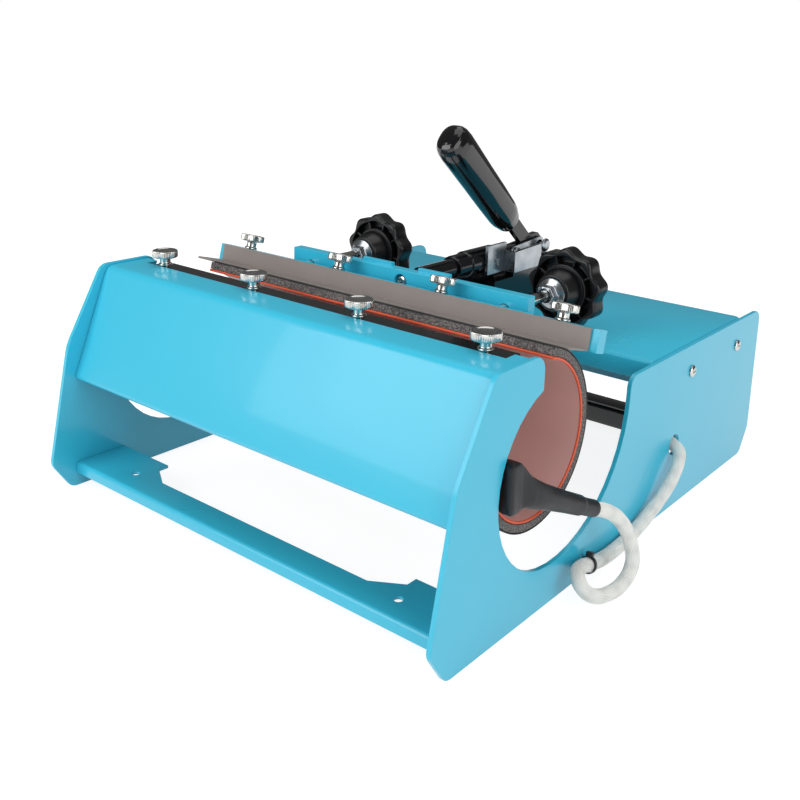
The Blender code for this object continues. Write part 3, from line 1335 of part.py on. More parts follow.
def main():
    """Build the whole press."""
    blue = make_material("turquoise powder coat", (0.10, 0.56, 0.72), 0.35)
    black_gloss = make_material("black gloss paint", (0.012, 0.016, 0.02), 0.2)
    black = make_material("black moulded plastic", (0.015, 0.015, 0.017), 0.4)
    grip_black = make_material("black dipped vinyl", (0.008, 0.008, 0.01), 0.18)
    chrome = make_material("chrome plated steel", (0.62, 0.62, 0.6), 0.15, 1.0)
    zinc = make_material("zinc plated steel", (0.45, 0.47, 0.48), 0.3, 1.0)
    steel = make_material("grey painted steel", (0.19, 0.175, 0.165), 0.5)
    foam = make_material("grey silicone foam", (0.13, 0.13, 0.13), 0.9)
    skin = make_material("black silicone skin", (0.02, 0.02, 0.02), 0.6)
    liner = make_material("orange silicone heater", (0.72, 0.26, 0.18), 0.5)
    white = make_material("white glass braid", (0.72, 0.72, 0.70), 0.7)
    glass = make_material("tinted display window", (0.01, 0.012, 0.016), 0.08)
    red = make_material("red rocker plastic", (0.5, 0.02, 0.02), 0.3)
    green = make_material("green circuit board", (0.02, 0.12, 0.05), 0.4)
    brass = make_material("brass", (0.5, 0.36, 0.14), 0.3, 1.0)
    build_frame(blue, black_gloss, chrome)
    build_controls(blue, black, glass, red, green, brass)
    heating_mat(liner, foam, skin)
    front_clamp(black_gloss, steel)
    build_jaw(blue, steel, chrome, black)
    build_clamp(black_gloss, zinc, grip_black)
    build_thumbscrews(chrome)
    lead_boot(black)
    heater_lead(white)
    cable_tie(black)


clear_scene()
PARTS = make_collection("mug_heat_press")
CUTTERS = make_collection("cutters")
main()
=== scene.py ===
"""Looks of a mug heat press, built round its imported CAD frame: shapes, finishes, light and camera."""

import json
import logging
import math
from dataclasses import dataclass, field
from enum import Enum
from typing import Any, Optional, Sequence

import bmesh
import bpy
import numpy as np
from mathutils import Matrix, Vector

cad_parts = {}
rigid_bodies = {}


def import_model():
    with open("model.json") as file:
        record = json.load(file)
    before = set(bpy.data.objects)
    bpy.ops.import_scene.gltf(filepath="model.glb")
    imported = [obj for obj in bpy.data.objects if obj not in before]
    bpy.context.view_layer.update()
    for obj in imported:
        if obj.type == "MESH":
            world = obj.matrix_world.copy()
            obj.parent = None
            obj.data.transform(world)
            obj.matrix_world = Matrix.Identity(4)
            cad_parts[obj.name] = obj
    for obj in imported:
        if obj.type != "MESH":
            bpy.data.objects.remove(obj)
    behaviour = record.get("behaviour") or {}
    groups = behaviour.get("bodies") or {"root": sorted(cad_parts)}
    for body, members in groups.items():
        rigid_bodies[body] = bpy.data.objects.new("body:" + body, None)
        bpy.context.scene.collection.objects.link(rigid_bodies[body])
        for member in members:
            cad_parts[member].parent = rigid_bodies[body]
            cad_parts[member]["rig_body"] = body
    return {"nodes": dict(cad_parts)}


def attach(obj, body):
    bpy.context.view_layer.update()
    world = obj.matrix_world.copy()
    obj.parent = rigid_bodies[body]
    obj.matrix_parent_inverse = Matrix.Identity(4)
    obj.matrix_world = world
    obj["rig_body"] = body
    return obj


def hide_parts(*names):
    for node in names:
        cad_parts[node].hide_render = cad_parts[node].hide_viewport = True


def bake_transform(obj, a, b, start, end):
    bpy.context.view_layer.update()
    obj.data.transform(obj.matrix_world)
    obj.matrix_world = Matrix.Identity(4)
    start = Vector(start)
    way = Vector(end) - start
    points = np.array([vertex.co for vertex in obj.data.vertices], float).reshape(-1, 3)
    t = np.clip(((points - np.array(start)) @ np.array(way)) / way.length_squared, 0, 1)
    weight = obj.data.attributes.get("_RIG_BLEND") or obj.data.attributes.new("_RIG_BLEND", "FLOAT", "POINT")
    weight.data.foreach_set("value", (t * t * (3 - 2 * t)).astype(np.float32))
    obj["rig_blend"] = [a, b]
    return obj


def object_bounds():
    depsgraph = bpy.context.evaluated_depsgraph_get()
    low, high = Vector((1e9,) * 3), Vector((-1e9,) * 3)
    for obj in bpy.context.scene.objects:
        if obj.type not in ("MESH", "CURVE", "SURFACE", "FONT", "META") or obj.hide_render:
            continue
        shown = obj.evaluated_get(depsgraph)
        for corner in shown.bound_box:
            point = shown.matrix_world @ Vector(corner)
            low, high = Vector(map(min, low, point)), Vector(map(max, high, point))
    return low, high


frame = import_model()
CAD_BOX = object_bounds()
LOG = logging.getLogger("mug_heat_press")
MM = 0.001
GAP = 0.3                      # clearance between pieces that touch, in millimetres
PLATE_DEPTH = 415.0            # front to back of the side plates, in millimetres
TURN = 2 * math.pi
BEVEL_ABOVE = 28.0             # edges flatter than this, in degrees, get no bevel
FLAT_BELOW = 0.8               # faces closer than this to one plane, in degrees, become one face
BRAID_SLANT = 0.04             # how far each set of yarn leans, in radians


# ---------------------------------------------------------------- finishes

def linear(colour: str) -> tuple[float, float, float, float]:
    """Turn an sRGB hex colour into linear RGBA.

    Args:
        colour: six hex digits after a hash.

    Returns:
        Red, green, blue and alpha, linear.
    """
    parts = [int(colour[i:i + 2], 16) / 255 for i in (1, 3, 5)]
    red, green, blue = (p / 12.92 if p <= 0.04045 else ((p + 0.055) / 1.055) ** 2.4 for p in parts)
    return (red, green, blue, 1.0)


def add_node(
    tree: bpy.types.NodeTree, kind: str, sockets: Optional[dict[Any, Any]] = None, **settings: Any
) -> bpy.types.Node:
    """Add one shader node with its settings, values and links.

    Args:
        tree: the material's node tree.
        kind: the node's type, without its "ShaderNode" prefix.
        sockets: input name or number to a value, or to the output socket that feeds it.
        settings: the node's own properties.

    Returns:
        The new node.
    """
    node = tree.nodes.new("ShaderNode" + kind)
    for name, value in settings.items():
        setattr(node, name, value)
    for key, value in (sockets or {}).items():
        if isinstance(value, bpy.types.NodeSocket):
            tree.links.new(value, node.inputs[key])
        else:
            node.inputs[key].default_value = value
    return node


class Surface(Enum):
    """How a surface was made, which gives its small pattern."""

    SPRAYED = "sprayed powder, baked to a faint orange peel"
    MOULDED = "moulded against polished steel"
    PLATED = "plated over turned or pressed steel"
    FOAMED = "foam with open cells of mixed greys"
    BRAIDED = "glass yarn braided round a wire"
    PRINTED = "lacquered board"


@dataclass(frozen=True)
class Finish:
    """One material: a base colour that drifts to a tint, and the small pattern of how it was made."""

    name: str
    surface: Surface
    colour: str
    tint: str
    roughness: float
    pattern_mm: float
    relief_mm: float
    slot: str
    spread: float = 0.06
    drift_mm: float = 40.0
    metallic: float = 0.0
    ior: float = 1.5
    coat: float = 0.0

    def material(self) -> bpy.types.Material:
        """Build the material once and hand the same one out after that.

        Returns:
            The node material of this finish.
        """
        known = bpy.data.materials.get(self.name)
        if known:
            return known
        material = bpy.data.materials.new(self.name)
        material.use_nodes = True
        tree = material.node_tree
        tree.nodes.clear()
        place = add_node(tree, "TexCoord")
        here = place.outputs["Object"]
        drift = add_node(
            tree, "TexNoise", {"Vector": here, "Scale": 1000 / self.drift_mm, "Detail": 3.0}
        ).outputs["Fac"]
        height, mask = self._pattern(tree, place)
        share = drift if mask is None else mask
        colour = add_node(
            tree, "Mix", {0: share, 6: linear(self.colour), 7: linear(self.tint)}, data_type="RGBA"
        ).outputs[2]
        rough = add_node(
            tree, "MapRange",
            {"Value": drift, "From Min": 0.3, "From Max": 0.7,
             "To Min": max(0.02, self.roughness - self.spread), "To Max": self.roughness + self.spread},
        ).outputs[0]
        bump = add_node(
            tree, "Bump", {"Height": height, "Strength": 1.0, "Distance": self.relief_mm * MM}
        ).outputs[0]
        shader = add_node(
            tree, "BsdfPrincipled",
            {"Base Color": colour, "Roughness": rough, "Normal": bump, "Metallic": self.metallic,
             "Coat Weight": self.coat, "Coat Roughness": 0.06},
        )
        if self.metallic < 0.5:
            shader.inputs["IOR"].default_value = self.ior
        add_node(tree, "OutputMaterial", {"Surface": shader.outputs[0]})
        material.diffuse_color = linear(self.colour)
        return material

    def _pattern(
        self, tree: bpy.types.NodeTree, place: bpy.types.Node
    ) -> tuple[bpy.types.NodeSocket, Optional[bpy.types.NodeSocket]]:
        """Add the nodes of the small pattern.

        Args:
            tree: the material's node tree.
            place: its texture coordinates.

        Returns:
            The height that the bump reads, and the mask that mixes the two colours, if it is its own.
        """
        here = place.outputs["Object"]
        scale = 1000 / self.pattern_mm
        if self.surface is Surface.BRAIDED:
            # two sets of yarn cross at a slant; UV runs in metres round and along the cord
            crossings = []
            for slant in (-BRAID_SLANT, BRAID_SLANT):
                turned = add_node(
                    tree, "Mapping", {"Vector": place.outputs["UV"], "Rotation": (0, 0, slant)}
                ).outputs[0]
                crossings.append(
                    add_node(tree, "TexWave", {"Vector": turned, "Scale": TURN / 20 * scale}).outputs["Fac"]
                )
            yarn = add_node(tree, "Math", {0: crossings[0], 1: crossings[1]}, operation="MAXIMUM").outputs[0]
            return yarn, yarn
        if self.surface is Surface.FOAMED:
            cells = add_node(tree, "TexVoronoi", {"Vector": here, "Scale": scale})
            fine = add_node(tree, "TexNoise", {"Vector": here, "Scale": scale * 0.7, "Detail": 6.0})
            speck = add_node(
                tree, "MapRange", {"Value": fine.outputs["Fac"], "From Min": 0.42, "From Max": 0.62}
            ).outputs[0]
            return cells.outputs["Distance"], speck
        if self.surface is Surface.PLATED:
            # fine drawn lines lie along the piece, with faint cloudy patches between them
            drawn = add_node(tree, "Mapping", {"Vector": here, "Scale": (1.0, 1.0, 0.12)}).outputs[0]
            lines = add_node(tree, "TexNoise", {"Vector": drawn, "Scale": scale, "Detail": 4.0})
            return lines.outputs["Fac"], None
        detail = 1.0 if self.surface is Surface.SPRAYED else 3.0
        fine = add_node(tree, "TexNoise", {"Vector": here, "Scale": scale, "Detail": detail})
        return fine.outputs["Fac"], None


# Polyester powder coat, sprayed and baked: satin gloss with a faint orange peel of about 1.5 mm.
POWDER_COAT = Finish(
    "powder_coat_turquoise", Surface.SPRAYED, "#38BDDB", "#35B9D8", 0.3, 1.5, 0.012, "powder_coat",
    spread=0.03, drift_mm=90, coat=0.25,
)
# Black gloss stoving paint over steel: deep, nearly mirror-like.
BLACK_PAINT = Finish(
    "stoved_black_gloss_paint", Surface.SPRAYED, "#08080A", "#101114", 0.16, 2.0, 0.008, "black_paint",
    spread=0.04, coat=0.2,
)
# Phenolic resin, moulded: black, satin to glossy on the lobes.
BLACK_PHENOLIC = Finish(
    "moulded_black_phenolic", Surface.MOULDED, "#09090B", "#121215", 0.34, 0.9, 0.012, "black_plastic",
    spread=0.07,
)
# Vinyl dipped over the handle: wet-looking black with long soft reflections.
GRIP_VINYL = Finish(
    "dipped_black_vinyl", Surface.MOULDED, "#08080A", "#0E0E11", 0.11, 3.0, 0.015, "grip_vinyl",
    spread=0.03, coat=0.5,
)
# Silicone rubber of the boot: matt black with a faint bloom.
BOOT_RUBBER = Finish(
    "moulded_black_silicone", Surface.MOULDED, "#0D0E12", "#15161B", 0.42, 0.7, 0.02, "black_plastic",
    spread=0.08, drift_mm=12,
)
# Nickel-chrome plate over turned steel: bright, with fine turning lines.
CHROME = Finish(
    "chrome_plated_turned_steel", Surface.PLATED, "#D9D8D4", "#C4C3BF", 0.17, 0.35, 0.004, "chrome_plate",
    spread=0.06, drift_mm=8, metallic=1.0,
)
# Bright zinc plate over pressed steel: bluish, a little cloudy.
ZINC = Finish(
    "zinc_plated_pressed_steel", Surface.PLATED, "#B9BEC2", "#A2A8AD", 0.27, 0.5, 0.006, "zinc_plate",
    spread=0.08, drift_mm=10, metallic=1.0,
)
# Galvanised strip under grey-brown primer: satin, with a faint grain.
GREY_STEEL = Finish(
    "primed_grey_steel", Surface.SPRAYED, "#8B837E", "#827A76", 0.45, 0.8, 0.01, "grey_steel",
    spread=0.06, drift_mm=30,
)
# Silicone sponge: cut cells of mixed greys, drawn at 0.7 mm so that they show.
FOAM = Finish(
    "open_cell_grey_silicone_sponge", Surface.FOAMED, "#403E3F", "#85807D", 0.85, 0.7, 0.1, "silicone_foam",
    spread=0.05,
)
# Glass cloth coated with black silicone: dull, with a fine weave.
SKIN = Finish(
    "black_coated_glass_cloth", Surface.MOULDED, "#222224", "#2E2D2E", 0.6, 0.6, 0.03, "silicone_skin",
    spread=0.05, drift_mm=15,
)
# Silicone heater face: pale pink, smooth and slightly translucent-looking.
LINER = Finish(
    "pink_silicone_heater_face", Surface.MOULDED, "#DDB0AA", "#D39F99", 0.42, 0.8, 0.02, "heater_silicone",
    spread=0.06, drift_mm=55,
)
# The heater's bonded rim: orange silicone sealant with a soft edge.
RIM = Finish(
    "orange_silicone_rim", Surface.MOULDED, "#E8603A", "#D9532F", 0.45, 1.2, 0.03, "heater_silicone",
    spread=0.06, drift_mm=10,
)
# Glass-fibre sleeve braided over the lead: off-white yarn, 0.9 mm from ridge to ridge.
GLASS_BRAID = Finish(
    "braided_white_glass_sleeve", Surface.BRAIDED, "#CFD1CD", "#EFEFEA", 0.5, 0.9, 0.04, "glass_braid",
    spread=0.06,
)
# Acrylic window over the display: smoked, polished.
WINDOW = Finish(
    "smoked_acrylic_window", Surface.MOULDED, "#0A0C10", "#0E1015", 0.06, 4.0, 0.002, "window",
    spread=0.02, ior=1.49,
)
# Rocker of the switch: red polycarbonate, moulded.
RED_PLASTIC = Finish(
    "moulded_red_polycarbonate", Surface.MOULDED, "#B01E20", "#9C191C", 0.22, 1.0, 0.008, "red_plastic",
    spread=0.05, drift_mm=12,
)
# Circuit board under green solder mask.
BOARD = Finish(
    "green_solder_mask", Surface.PRINTED, "#1B5B34", "#164B2B", 0.3, 0.8, 0.02, "board",
    spread=0.06, drift_mm=6,
)
# Turned brass of the board's pillars and the inlet's pins.
BRASS = Finish(
    "turned_brass", Surface.PLATED, "#C9A35A", "#B8924C", 0.25, 0.4, 0.005, "brass",
    spread=0.06, drift_mm=6, metallic=1.0,
)


# ---------------------------------------------------------------- surfaces

def back(distance: float) -> float:
    """World Y in millimetres of a point this far behind the frame's front."""
    return distance - PLATE_DEPTH / 2


def grid_faces(rows: int, columns: int) -> np.ndarray:
    """Quads of a grid whose rows are closed rings.

    Point j of ring i has number i * columns + j, and the last point of a ring joins its first.

    Args:
        rows: number of rings.
        columns: points in each ring.

    Returns:
        An array of four point numbers a face.
    """
    i = np.arange(rows - 1)[:, None] * columns
    j = np.arange(columns)[None, :]
    onward = (j + 1) % columns
    return np.stack([i + j, i + onward, i + onward + columns, i + j + columns], -1).reshape(-1, 4)


def new_piece(
    name: str,
    points: np.ndarray,
    faces: Sequence[Sequence[int]],
    finish: Finish,
    smooth: float = 35.0,
    uv: Optional[np.ndarray] = None,
) -> bpy.types.Object:
    """Put points in millimetres and faces into a mesh piece with outward faces.

    Args:
        name: the piece's name.
        points: an array of n by 3, in millimetres.
        faces: point numbers of each face.
        finish: its finish.
        smooth: edges flatter than this angle, in degrees, are shaded smooth.
        uv: two numbers a point, where the finish follows the surface.

    Returns:
        The piece, linked to the scene.
    """
    mesh = bpy.data.meshes.new(name)
    mesh.from_pydata((np.asarray(points, float) * MM).tolist(), [], [list(map(int, f)) for f in faces])
    if uv is not None:
        corner_points = np.zeros(len(mesh.loops), np.int32)
        mesh.loops.foreach_get("vertex_index", corner_points)
        layer = mesh.uv_layers.new(name="surface")
        layer.data.foreach_set("uv", uv[corner_points].astype(np.float32).ravel())
    work = bmesh.new()
    work.from_mesh(mesh)
    bmesh.ops.remove_doubles(work, verts=work.verts, dist=2e-6)
    bmesh.ops.recalc_face_normals(work, faces=work.faces)
    work.to_mesh(mesh)
    work.free()
    piece = bpy.data.objects.new(name, mesh)
    bpy.context.scene.collection.objects.link(piece)
    mesh.materials.append(finish.material())
    shade(mesh, smooth)
    return piece


def shade(mesh: bpy.types.Mesh, smooth: float) -> None:
    """Shade faces smooth, and mark the edges sharper than an angle in degrees as sharp."""
    mesh.polygons.foreach_set("use_smooth", np.ones(len(mesh.polygons), bool))
    mesh.set_sharp_from_angle(angle=math.radians(smooth))
    mesh.update()


def across(direction: Sequence[float]) -> tuple[np.ndarray, np.ndarray, np.ndarray]:
    """Two unit vectors square to a direction, and the unit direction itself.

    Args:
        direction: three numbers.

    Returns:
        First side, second side and the direction, each of length one, right-handed.
    """
    along = np.asarray(direction, float)
    along = along / np.linalg.norm(along)
    helper = np.array([1.0, 0, 0]) if abs(along[0]) < 0.9 else np.array([0, 0, 1.0])
    first = np.cross(helper, along)
    first /= np.linalg.norm(first)
    return first, np.cross(along, first), along


def turned(
    profile: Sequence[tuple[float, float]],
    origin: Sequence[float],
    direction: Sequence[float],
    sides: int = 48,
    ripple: Optional[np.ndarray] = None,
    share: Optional[Sequence[float]] = None,
) -> tuple[np.ndarray, np.ndarray]:
    """A turned surface: ring i stands at height h_i and has radius r_i + share_i * ripple(angle).

    Args:
        profile: radius and height of each ring, from one end to the other.
        origin: where height 0 lies.
        direction: the axis.
        sides: points in each ring.
        ripple: what is added to the radius at each of the ring's angles.
        share: how much of the ripple each ring takes.

    Returns:
        Points and faces.
    """
    first, second, along = across(direction)
    rings = np.asarray(profile, float)
    angle = np.arange(sides) * TURN / sides
    radius = np.repeat(rings[:, :1], sides, axis=1)
    if ripple is not None:
        radius = radius + np.asarray(share, float)[:, None] * ripple[None, :]
    points = (
        np.asarray(origin, float)
        + (radius * np.cos(angle))[..., None] * first
        + (radius * np.sin(angle))[..., None] * second
        + rings[:, 1, None, None] * along
    )
    return points.reshape(-1, 3), grid_faces(len(rings), sides)


def rounded_profile(
    corners: Sequence[tuple[float, float, float]], steps: int = 4
) -> list[tuple[float, float]]:
    """A profile whose corners are rounded by an arc drawn as a quadratic curve.

    Each corner c with reach r becomes the curve (1-t)^2 a + 2t(1-t) c + t^2 b, where a and b lie r
    before and after c on its two edges.

    Args:
        corners: radius, height and reach of each corner.
        steps: parts in each rounded corner.

    Returns:
        Radius and height of each point.
    """
    points: list[tuple[float, float]] = []
    places = [np.array(c[:2], float) for c in corners]
    for i, corner in enumerate(corners):
        here = places[i]
        reach = corner[2]
        if reach <= 0 or i in (0, len(corners) - 1):
            points.append(tuple(here))
            continue
        before = places[i - 1] - here
        after = places[i + 1] - here
        start = here + before / np.linalg.norm(before) * min(reach, np.linalg.norm(before) * 0.49)
        end = here + after / np.linalg.norm(after) * min(reach, np.linalg.norm(after) * 0.49)
        for t in np.linspace(0, 1, steps + 1):
            points.append(tuple((1 - t) ** 2 * start + 2 * t * (1 - t) * here + t ** 2 * end))
    return points


def capped(faces: np.ndarray, rows: int, columns: int) -> list[list[int]]:
    """The grid's faces with one more face over each end ring."""
    listed = faces.tolist()
    listed.append(list(range(columns))[::-1])
    listed.append(list(range((rows - 1) * columns, rows * columns)))
    return listed


def lofted(
    centres: np.ndarray, sides_a: np.ndarray, sides_b: np.ndarray, powers: np.ndarray, points: int = 40
) -> tuple[np.ndarray, list[list[int]]]:
    """A skin over superellipses: ring i is centre + a*|cos|^(2/p)*sign(cos) + b*|sin|^(2/p)*sign(sin).

    Args:
        centres: n by 3, the rings' centres.
        sides_a: n by 3, half width vectors.
        sides_b: n by 3, half depth vectors.
        powers: n, 2 for an ellipse and more for a squarer ring.
        points: points in each ring.

    Returns:
        Points and faces, closed at both ends.
    """
    angle = np.arange(points) * TURN / points
    cos, sin = np.cos(angle)[None, :], np.sin(angle)[None, :]
    power = (2 / powers)[:, None]
    wide = np.sign(cos) * np.abs(cos) ** power
    deep = np.sign(sin) * np.abs(sin) ** power
    skin = centres[:, None, :] + wide[..., None] * sides_a[:, None, :] + deep[..., None] * sides_b[:, None, :]
    rows = len(centres)
    return skin.reshape(-1, 3), capped(grid_faces(rows, points), rows, points)


def bent_strip(
    path: np.ndarray, low_x: float, high_x: float, thickness: float, edge: float
) -> tuple[np.ndarray, list[list[int]]]:
    """A sheet that follows a path in the side view: a rounded rectangle carried along it.

    Each ring is (x, path + n * t), where n is the path's normal and (x, t) runs round the section.

    Args:
        path: n by 2, distance back and height in millimetres, on the sheet's inner face.
        low_x: left edge.
        high_x: right edge.
        thickness: the sheet's thickness, outwards from the path.
        edge: radius of the sheet's long edges.

    Returns:
        Points and faces, closed at both ends.
    """
    tangent = np.gradient(path, axis=0)
    tangent /= np.linalg.norm(tangent, axis=1, keepdims=True)
    normal = np.stack([tangent[:, 1], -tangent[:, 0]], 1)
    arc = np.linspace(0, math.pi / 2, 4)
    corners = ((high_x - edge, thickness - edge, 0), (low_x + edge, thickness - edge, 1),
               (low_x + edge, edge, 2), (high_x - edge, edge, 3))
    section = np.concatenate([
        np.stack([x + edge * np.cos(arc + q * math.pi / 2), t + edge * np.sin(arc + q * math.pi / 2)], 1)
        for x, t, q in corners
    ])
    place = path[:, None, :] + normal[:, None, :] * section[None, :, 1:2]
    x = np.broadcast_to(section[None, :, 0], place.shape[:2])
    points = np.stack([x, back(place[..., 0]), place[..., 1]], -1)
    rows, columns = points.shape[:2]
    return points.reshape(-1, 3), capped(grid_faces(rows, columns), rows, columns)


def arc_path(centre: tuple[float, float], radius: float, start: float, end: float, steps: int) -> np.ndarray:
    """Points on an arc, angles in degrees, as distance back and height."""
    angle = np.radians(np.linspace(start, end, steps))
    return np.stack([centre[0] + radius * np.cos(angle), centre[1] + radius * np.sin(angle)], 1)


def smooth_route(corners: np.ndarray, per_span: int) -> np.ndarray:
    """A smooth curve through every corner, by the Catmull-Rom formula.

    Args:
        corners: n by 3 points.
        per_span: points for each span.

    Returns:
        The curve's points.
    """
    padded = np.vstack([2 * corners[0] - corners[1], corners, 2 * corners[-1] - corners[-2]])
    before, start, end, after = padded[:-3], padded[1:-2], padded[2:-1], padded[3:]
    t = (np.arange(per_span) / per_span)[None, :, None]
    before, start, end, after = (p[:, None, :] for p in (before, start, end, after))
    spans = (
        2 * start + (end - before) * t + (2 * before - 5 * start + 4 * end - after) * t ** 2
        + (3 * start - before - 3 * end + after) * t ** 3
    ) / 2
    return np.vstack([spans.reshape(-1, 3), corners[-1]])


def tube(
    path: np.ndarray, radius: float, sides: int, ribs: int = 0, rib_depth: float = 0.0
) -> tuple[np.ndarray, list[list[int]], np.ndarray]:
    """A tube round a path, whose radius is radius + rib_depth * cos(ribs * angle), less at its crests.

    The ring's first side is carried from point to point, so that it doesn't twist.

    Args:
        path: n by 3 points.
        radius: outer radius at the ribs' crests.
        sides: points in each ring.
        ribs: number of ribs along the tube.
        rib_depth: half the depth of a rib.

    Returns:
        Points, faces, and UV in metres round and along the tube.
    """
    tangent = np.gradient(path, axis=0)
    tangent /= np.linalg.norm(tangent, axis=1, keepdims=True)
    side = across(tangent[0])[0]
    firsts = []
    for along in tangent:
        side = side - along * (side @ along)
        side = side / np.linalg.norm(side)
        firsts.append(side)
    first = np.array(firsts)
    second = np.cross(tangent, first)
    angle = np.arange(sides) * TURN / sides
    ring = radius - rib_depth + rib_depth * np.cos(ribs * angle)
    skin = (
        path[:, None, :]
        + (ring * np.cos(angle))[None, :, None] * first[:, None, :]
        + (ring * np.sin(angle))[None, :, None] * second[:, None, :]
    )
    run = np.concatenate([[0], np.cumsum(np.linalg.norm(np.diff(path, axis=0), axis=1))])
    # the pattern round the cord rises and falls once, so that it meets itself without a seam
    round_way = radius * (math.pi - np.abs(angle - math.pi))
    uv = np.stack(np.broadcast_arrays(round_way[None, :], run[:, None]), -1).reshape(-1, 2) * MM
    rows = len(path)
    return skin.reshape(-1, 3), capped(grid_faces(rows, sides), rows, sides), uv


def softened(node: str, name: str, finish: Finish, edge_mm: float) -> bpy.types.Object:
    """A copy of a plain node with merged faces and rounded edges, as pressed or moulded stock has.

    Args:
        node: the CAD node that the piece stands for.
        name: the piece's name.
        finish: its finish.
        edge_mm: radius of its edges, in millimetres.

    Returns:
        The piece, riding on the node's body.
    """
    work = bmesh.new()
    work.from_mesh(frame["nodes"][node].data)
    bmesh.ops.remove_doubles(work, verts=work.verts, dist=1e-5)
    bmesh.ops.dissolve_limit(work, angle_limit=math.radians(FLAT_BELOW), verts=work.verts, edges=work.edges)
    work.verts.index_update()
    points = np.array([v.co for v in work.verts])
    faces = [[v.index for v in f.verts] for f in work.faces]
    work.free()
    mesh = bpy.data.meshes.new(name)
    mesh.from_pydata(points.tolist(), [], faces)
    mesh.materials.append(finish.material())
    mesh.polygons.foreach_set("use_smooth", np.ones(len(faces), bool))
    mesh.update()
    piece = bpy.data.objects.new(name, mesh)
    bpy.context.scene.collection.objects.link(piece)
    bevel = piece.modifiers.new("edge radius", "BEVEL")
    bevel.width = edge_mm * MM
    bevel.segments = 2
    bevel.limit_method = "ANGLE"
    bevel.angle_limit = math.radians(BEVEL_ABOVE)
    bevel.harden_normals = True
    bevel.use_clamp_overlap = True
    settle(piece, frame["nodes"][node]["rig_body"], finish, node)
    return piece


def settle(piece: bpy.types.Object, body: str, finish: Finish, *nodes: str) -> bpy.types.Object:
    """Let a piece ride on its body, stand for its nodes, and log it.

    Args:
        piece: the finished piece.
        body: the body that carries it.
        finish: its finish; not used.
        nodes: the CAD nodes that it replaces.

    Returns:
        The piece.
    """
    if "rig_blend" not in piece:
        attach(piece, body)
    if nodes:
        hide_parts(*nodes)
    LOG.info("piece %s on %s", piece.name, body)
    return piece


# ---------------------------------------------------------------- sub-assemblies

@dataclass
class SheetFrame:
    """The fixed frame of bent and painted sheet: plates, cover, strip, cross bar and deck."""

    edge: float = 0.45
    plate_edge: float = 0.72
    screw_radius: float = 4.2
    screw_head: float = 2.2
    screw_backs: tuple[float, float] = (291.0, 371.5)
    screw_height: float = 98.0
    half_width: float = 170.0

    def build(self) -> None:
        """Build every sheet piece and its screws."""
        for side in ("left", "right"):
            softened(f"side_plate_{side}", f"side_plate_{side}_sheet", POWDER_COAT, self.plate_edge)
        for node in ("front_cover", "front_base_strip", "rear_deck"):
            softened(node, node + "_sheet", POWDER_COAT, self.edge)
        softened("rear_cross_bar", "rear_cross_bar_section", BLACK_PAINT, self.edge)
        for side, name in ((-1, "left"), (1, "right")):
            for number, distance in enumerate(self.screw_backs, start=1):
                origin = (side * (self.half_width + GAP), back(distance), self.screw_height)
                driven_screw(
                    f"deck_screw_{name}_{number}_head", origin, (side, 0, 0), self.screw_radius,
                    self.screw_head, CHROME, "frame", f"deck_screw_{name}_{number}",
                )


def driven_screw(
    name: str, origin: Sequence[float], direction: Sequence[float], radius: float, head: float,
    finish: Finish, body: str, node: str,
) -> bpy.types.Object:
    """A pan-head screw with a crossed recess.

    The head's height is head * (1 - (r/R)^4 / crown), less the recess where |x| or |y| is under its
    half width, fading out at the recess's reach.

    Args:
        name: the piece's name.
        origin: centre of the head's seat.
        direction: outwards, along the screw.
        radius: the head's radius.
        head: the head's height.
        finish: its finish.
        body: the body that carries it.
        node: the CAD node that it replaces.

    Returns:
        The screw's head.
    """
    first, second, along = across(direction)
    rings, sides, crown = 30, 64, 1.6
    share = np.linspace(0, 1, rings)[:, None]
    angle = (np.arange(sides) * TURN / sides)[None, :]
    x, y = share * radius * np.cos(angle), share * radius * np.sin(angle)
    slot_half, reach, depth = radius * 0.13, radius * 0.62, head * 0.55
    arm = np.minimum(np.abs(x), np.abs(y)) - slot_half
    cut = np.clip(-arm / (radius * 0.05), 0, 1) * np.clip((reach - share * radius) / (radius * 0.1), 0, 1)
    height = head * (1 - share ** 4 / crown) - depth * cut
    cap = (
        np.asarray(origin, float) + x[..., None] * first + y[..., None] * second + height[..., None] * along
    ).reshape(-1, 3)
    base = cap[-sides:] - along * (head * (1 - 1 / crown))
    floor = np.repeat(np.asarray(origin, float)[None, :], sides, 0)
    points = np.vstack([cap, base, floor])
    piece = new_piece(name, points, grid_faces(rings + 2, sides), finish, 40)
    return settle(piece, body, finish, node)


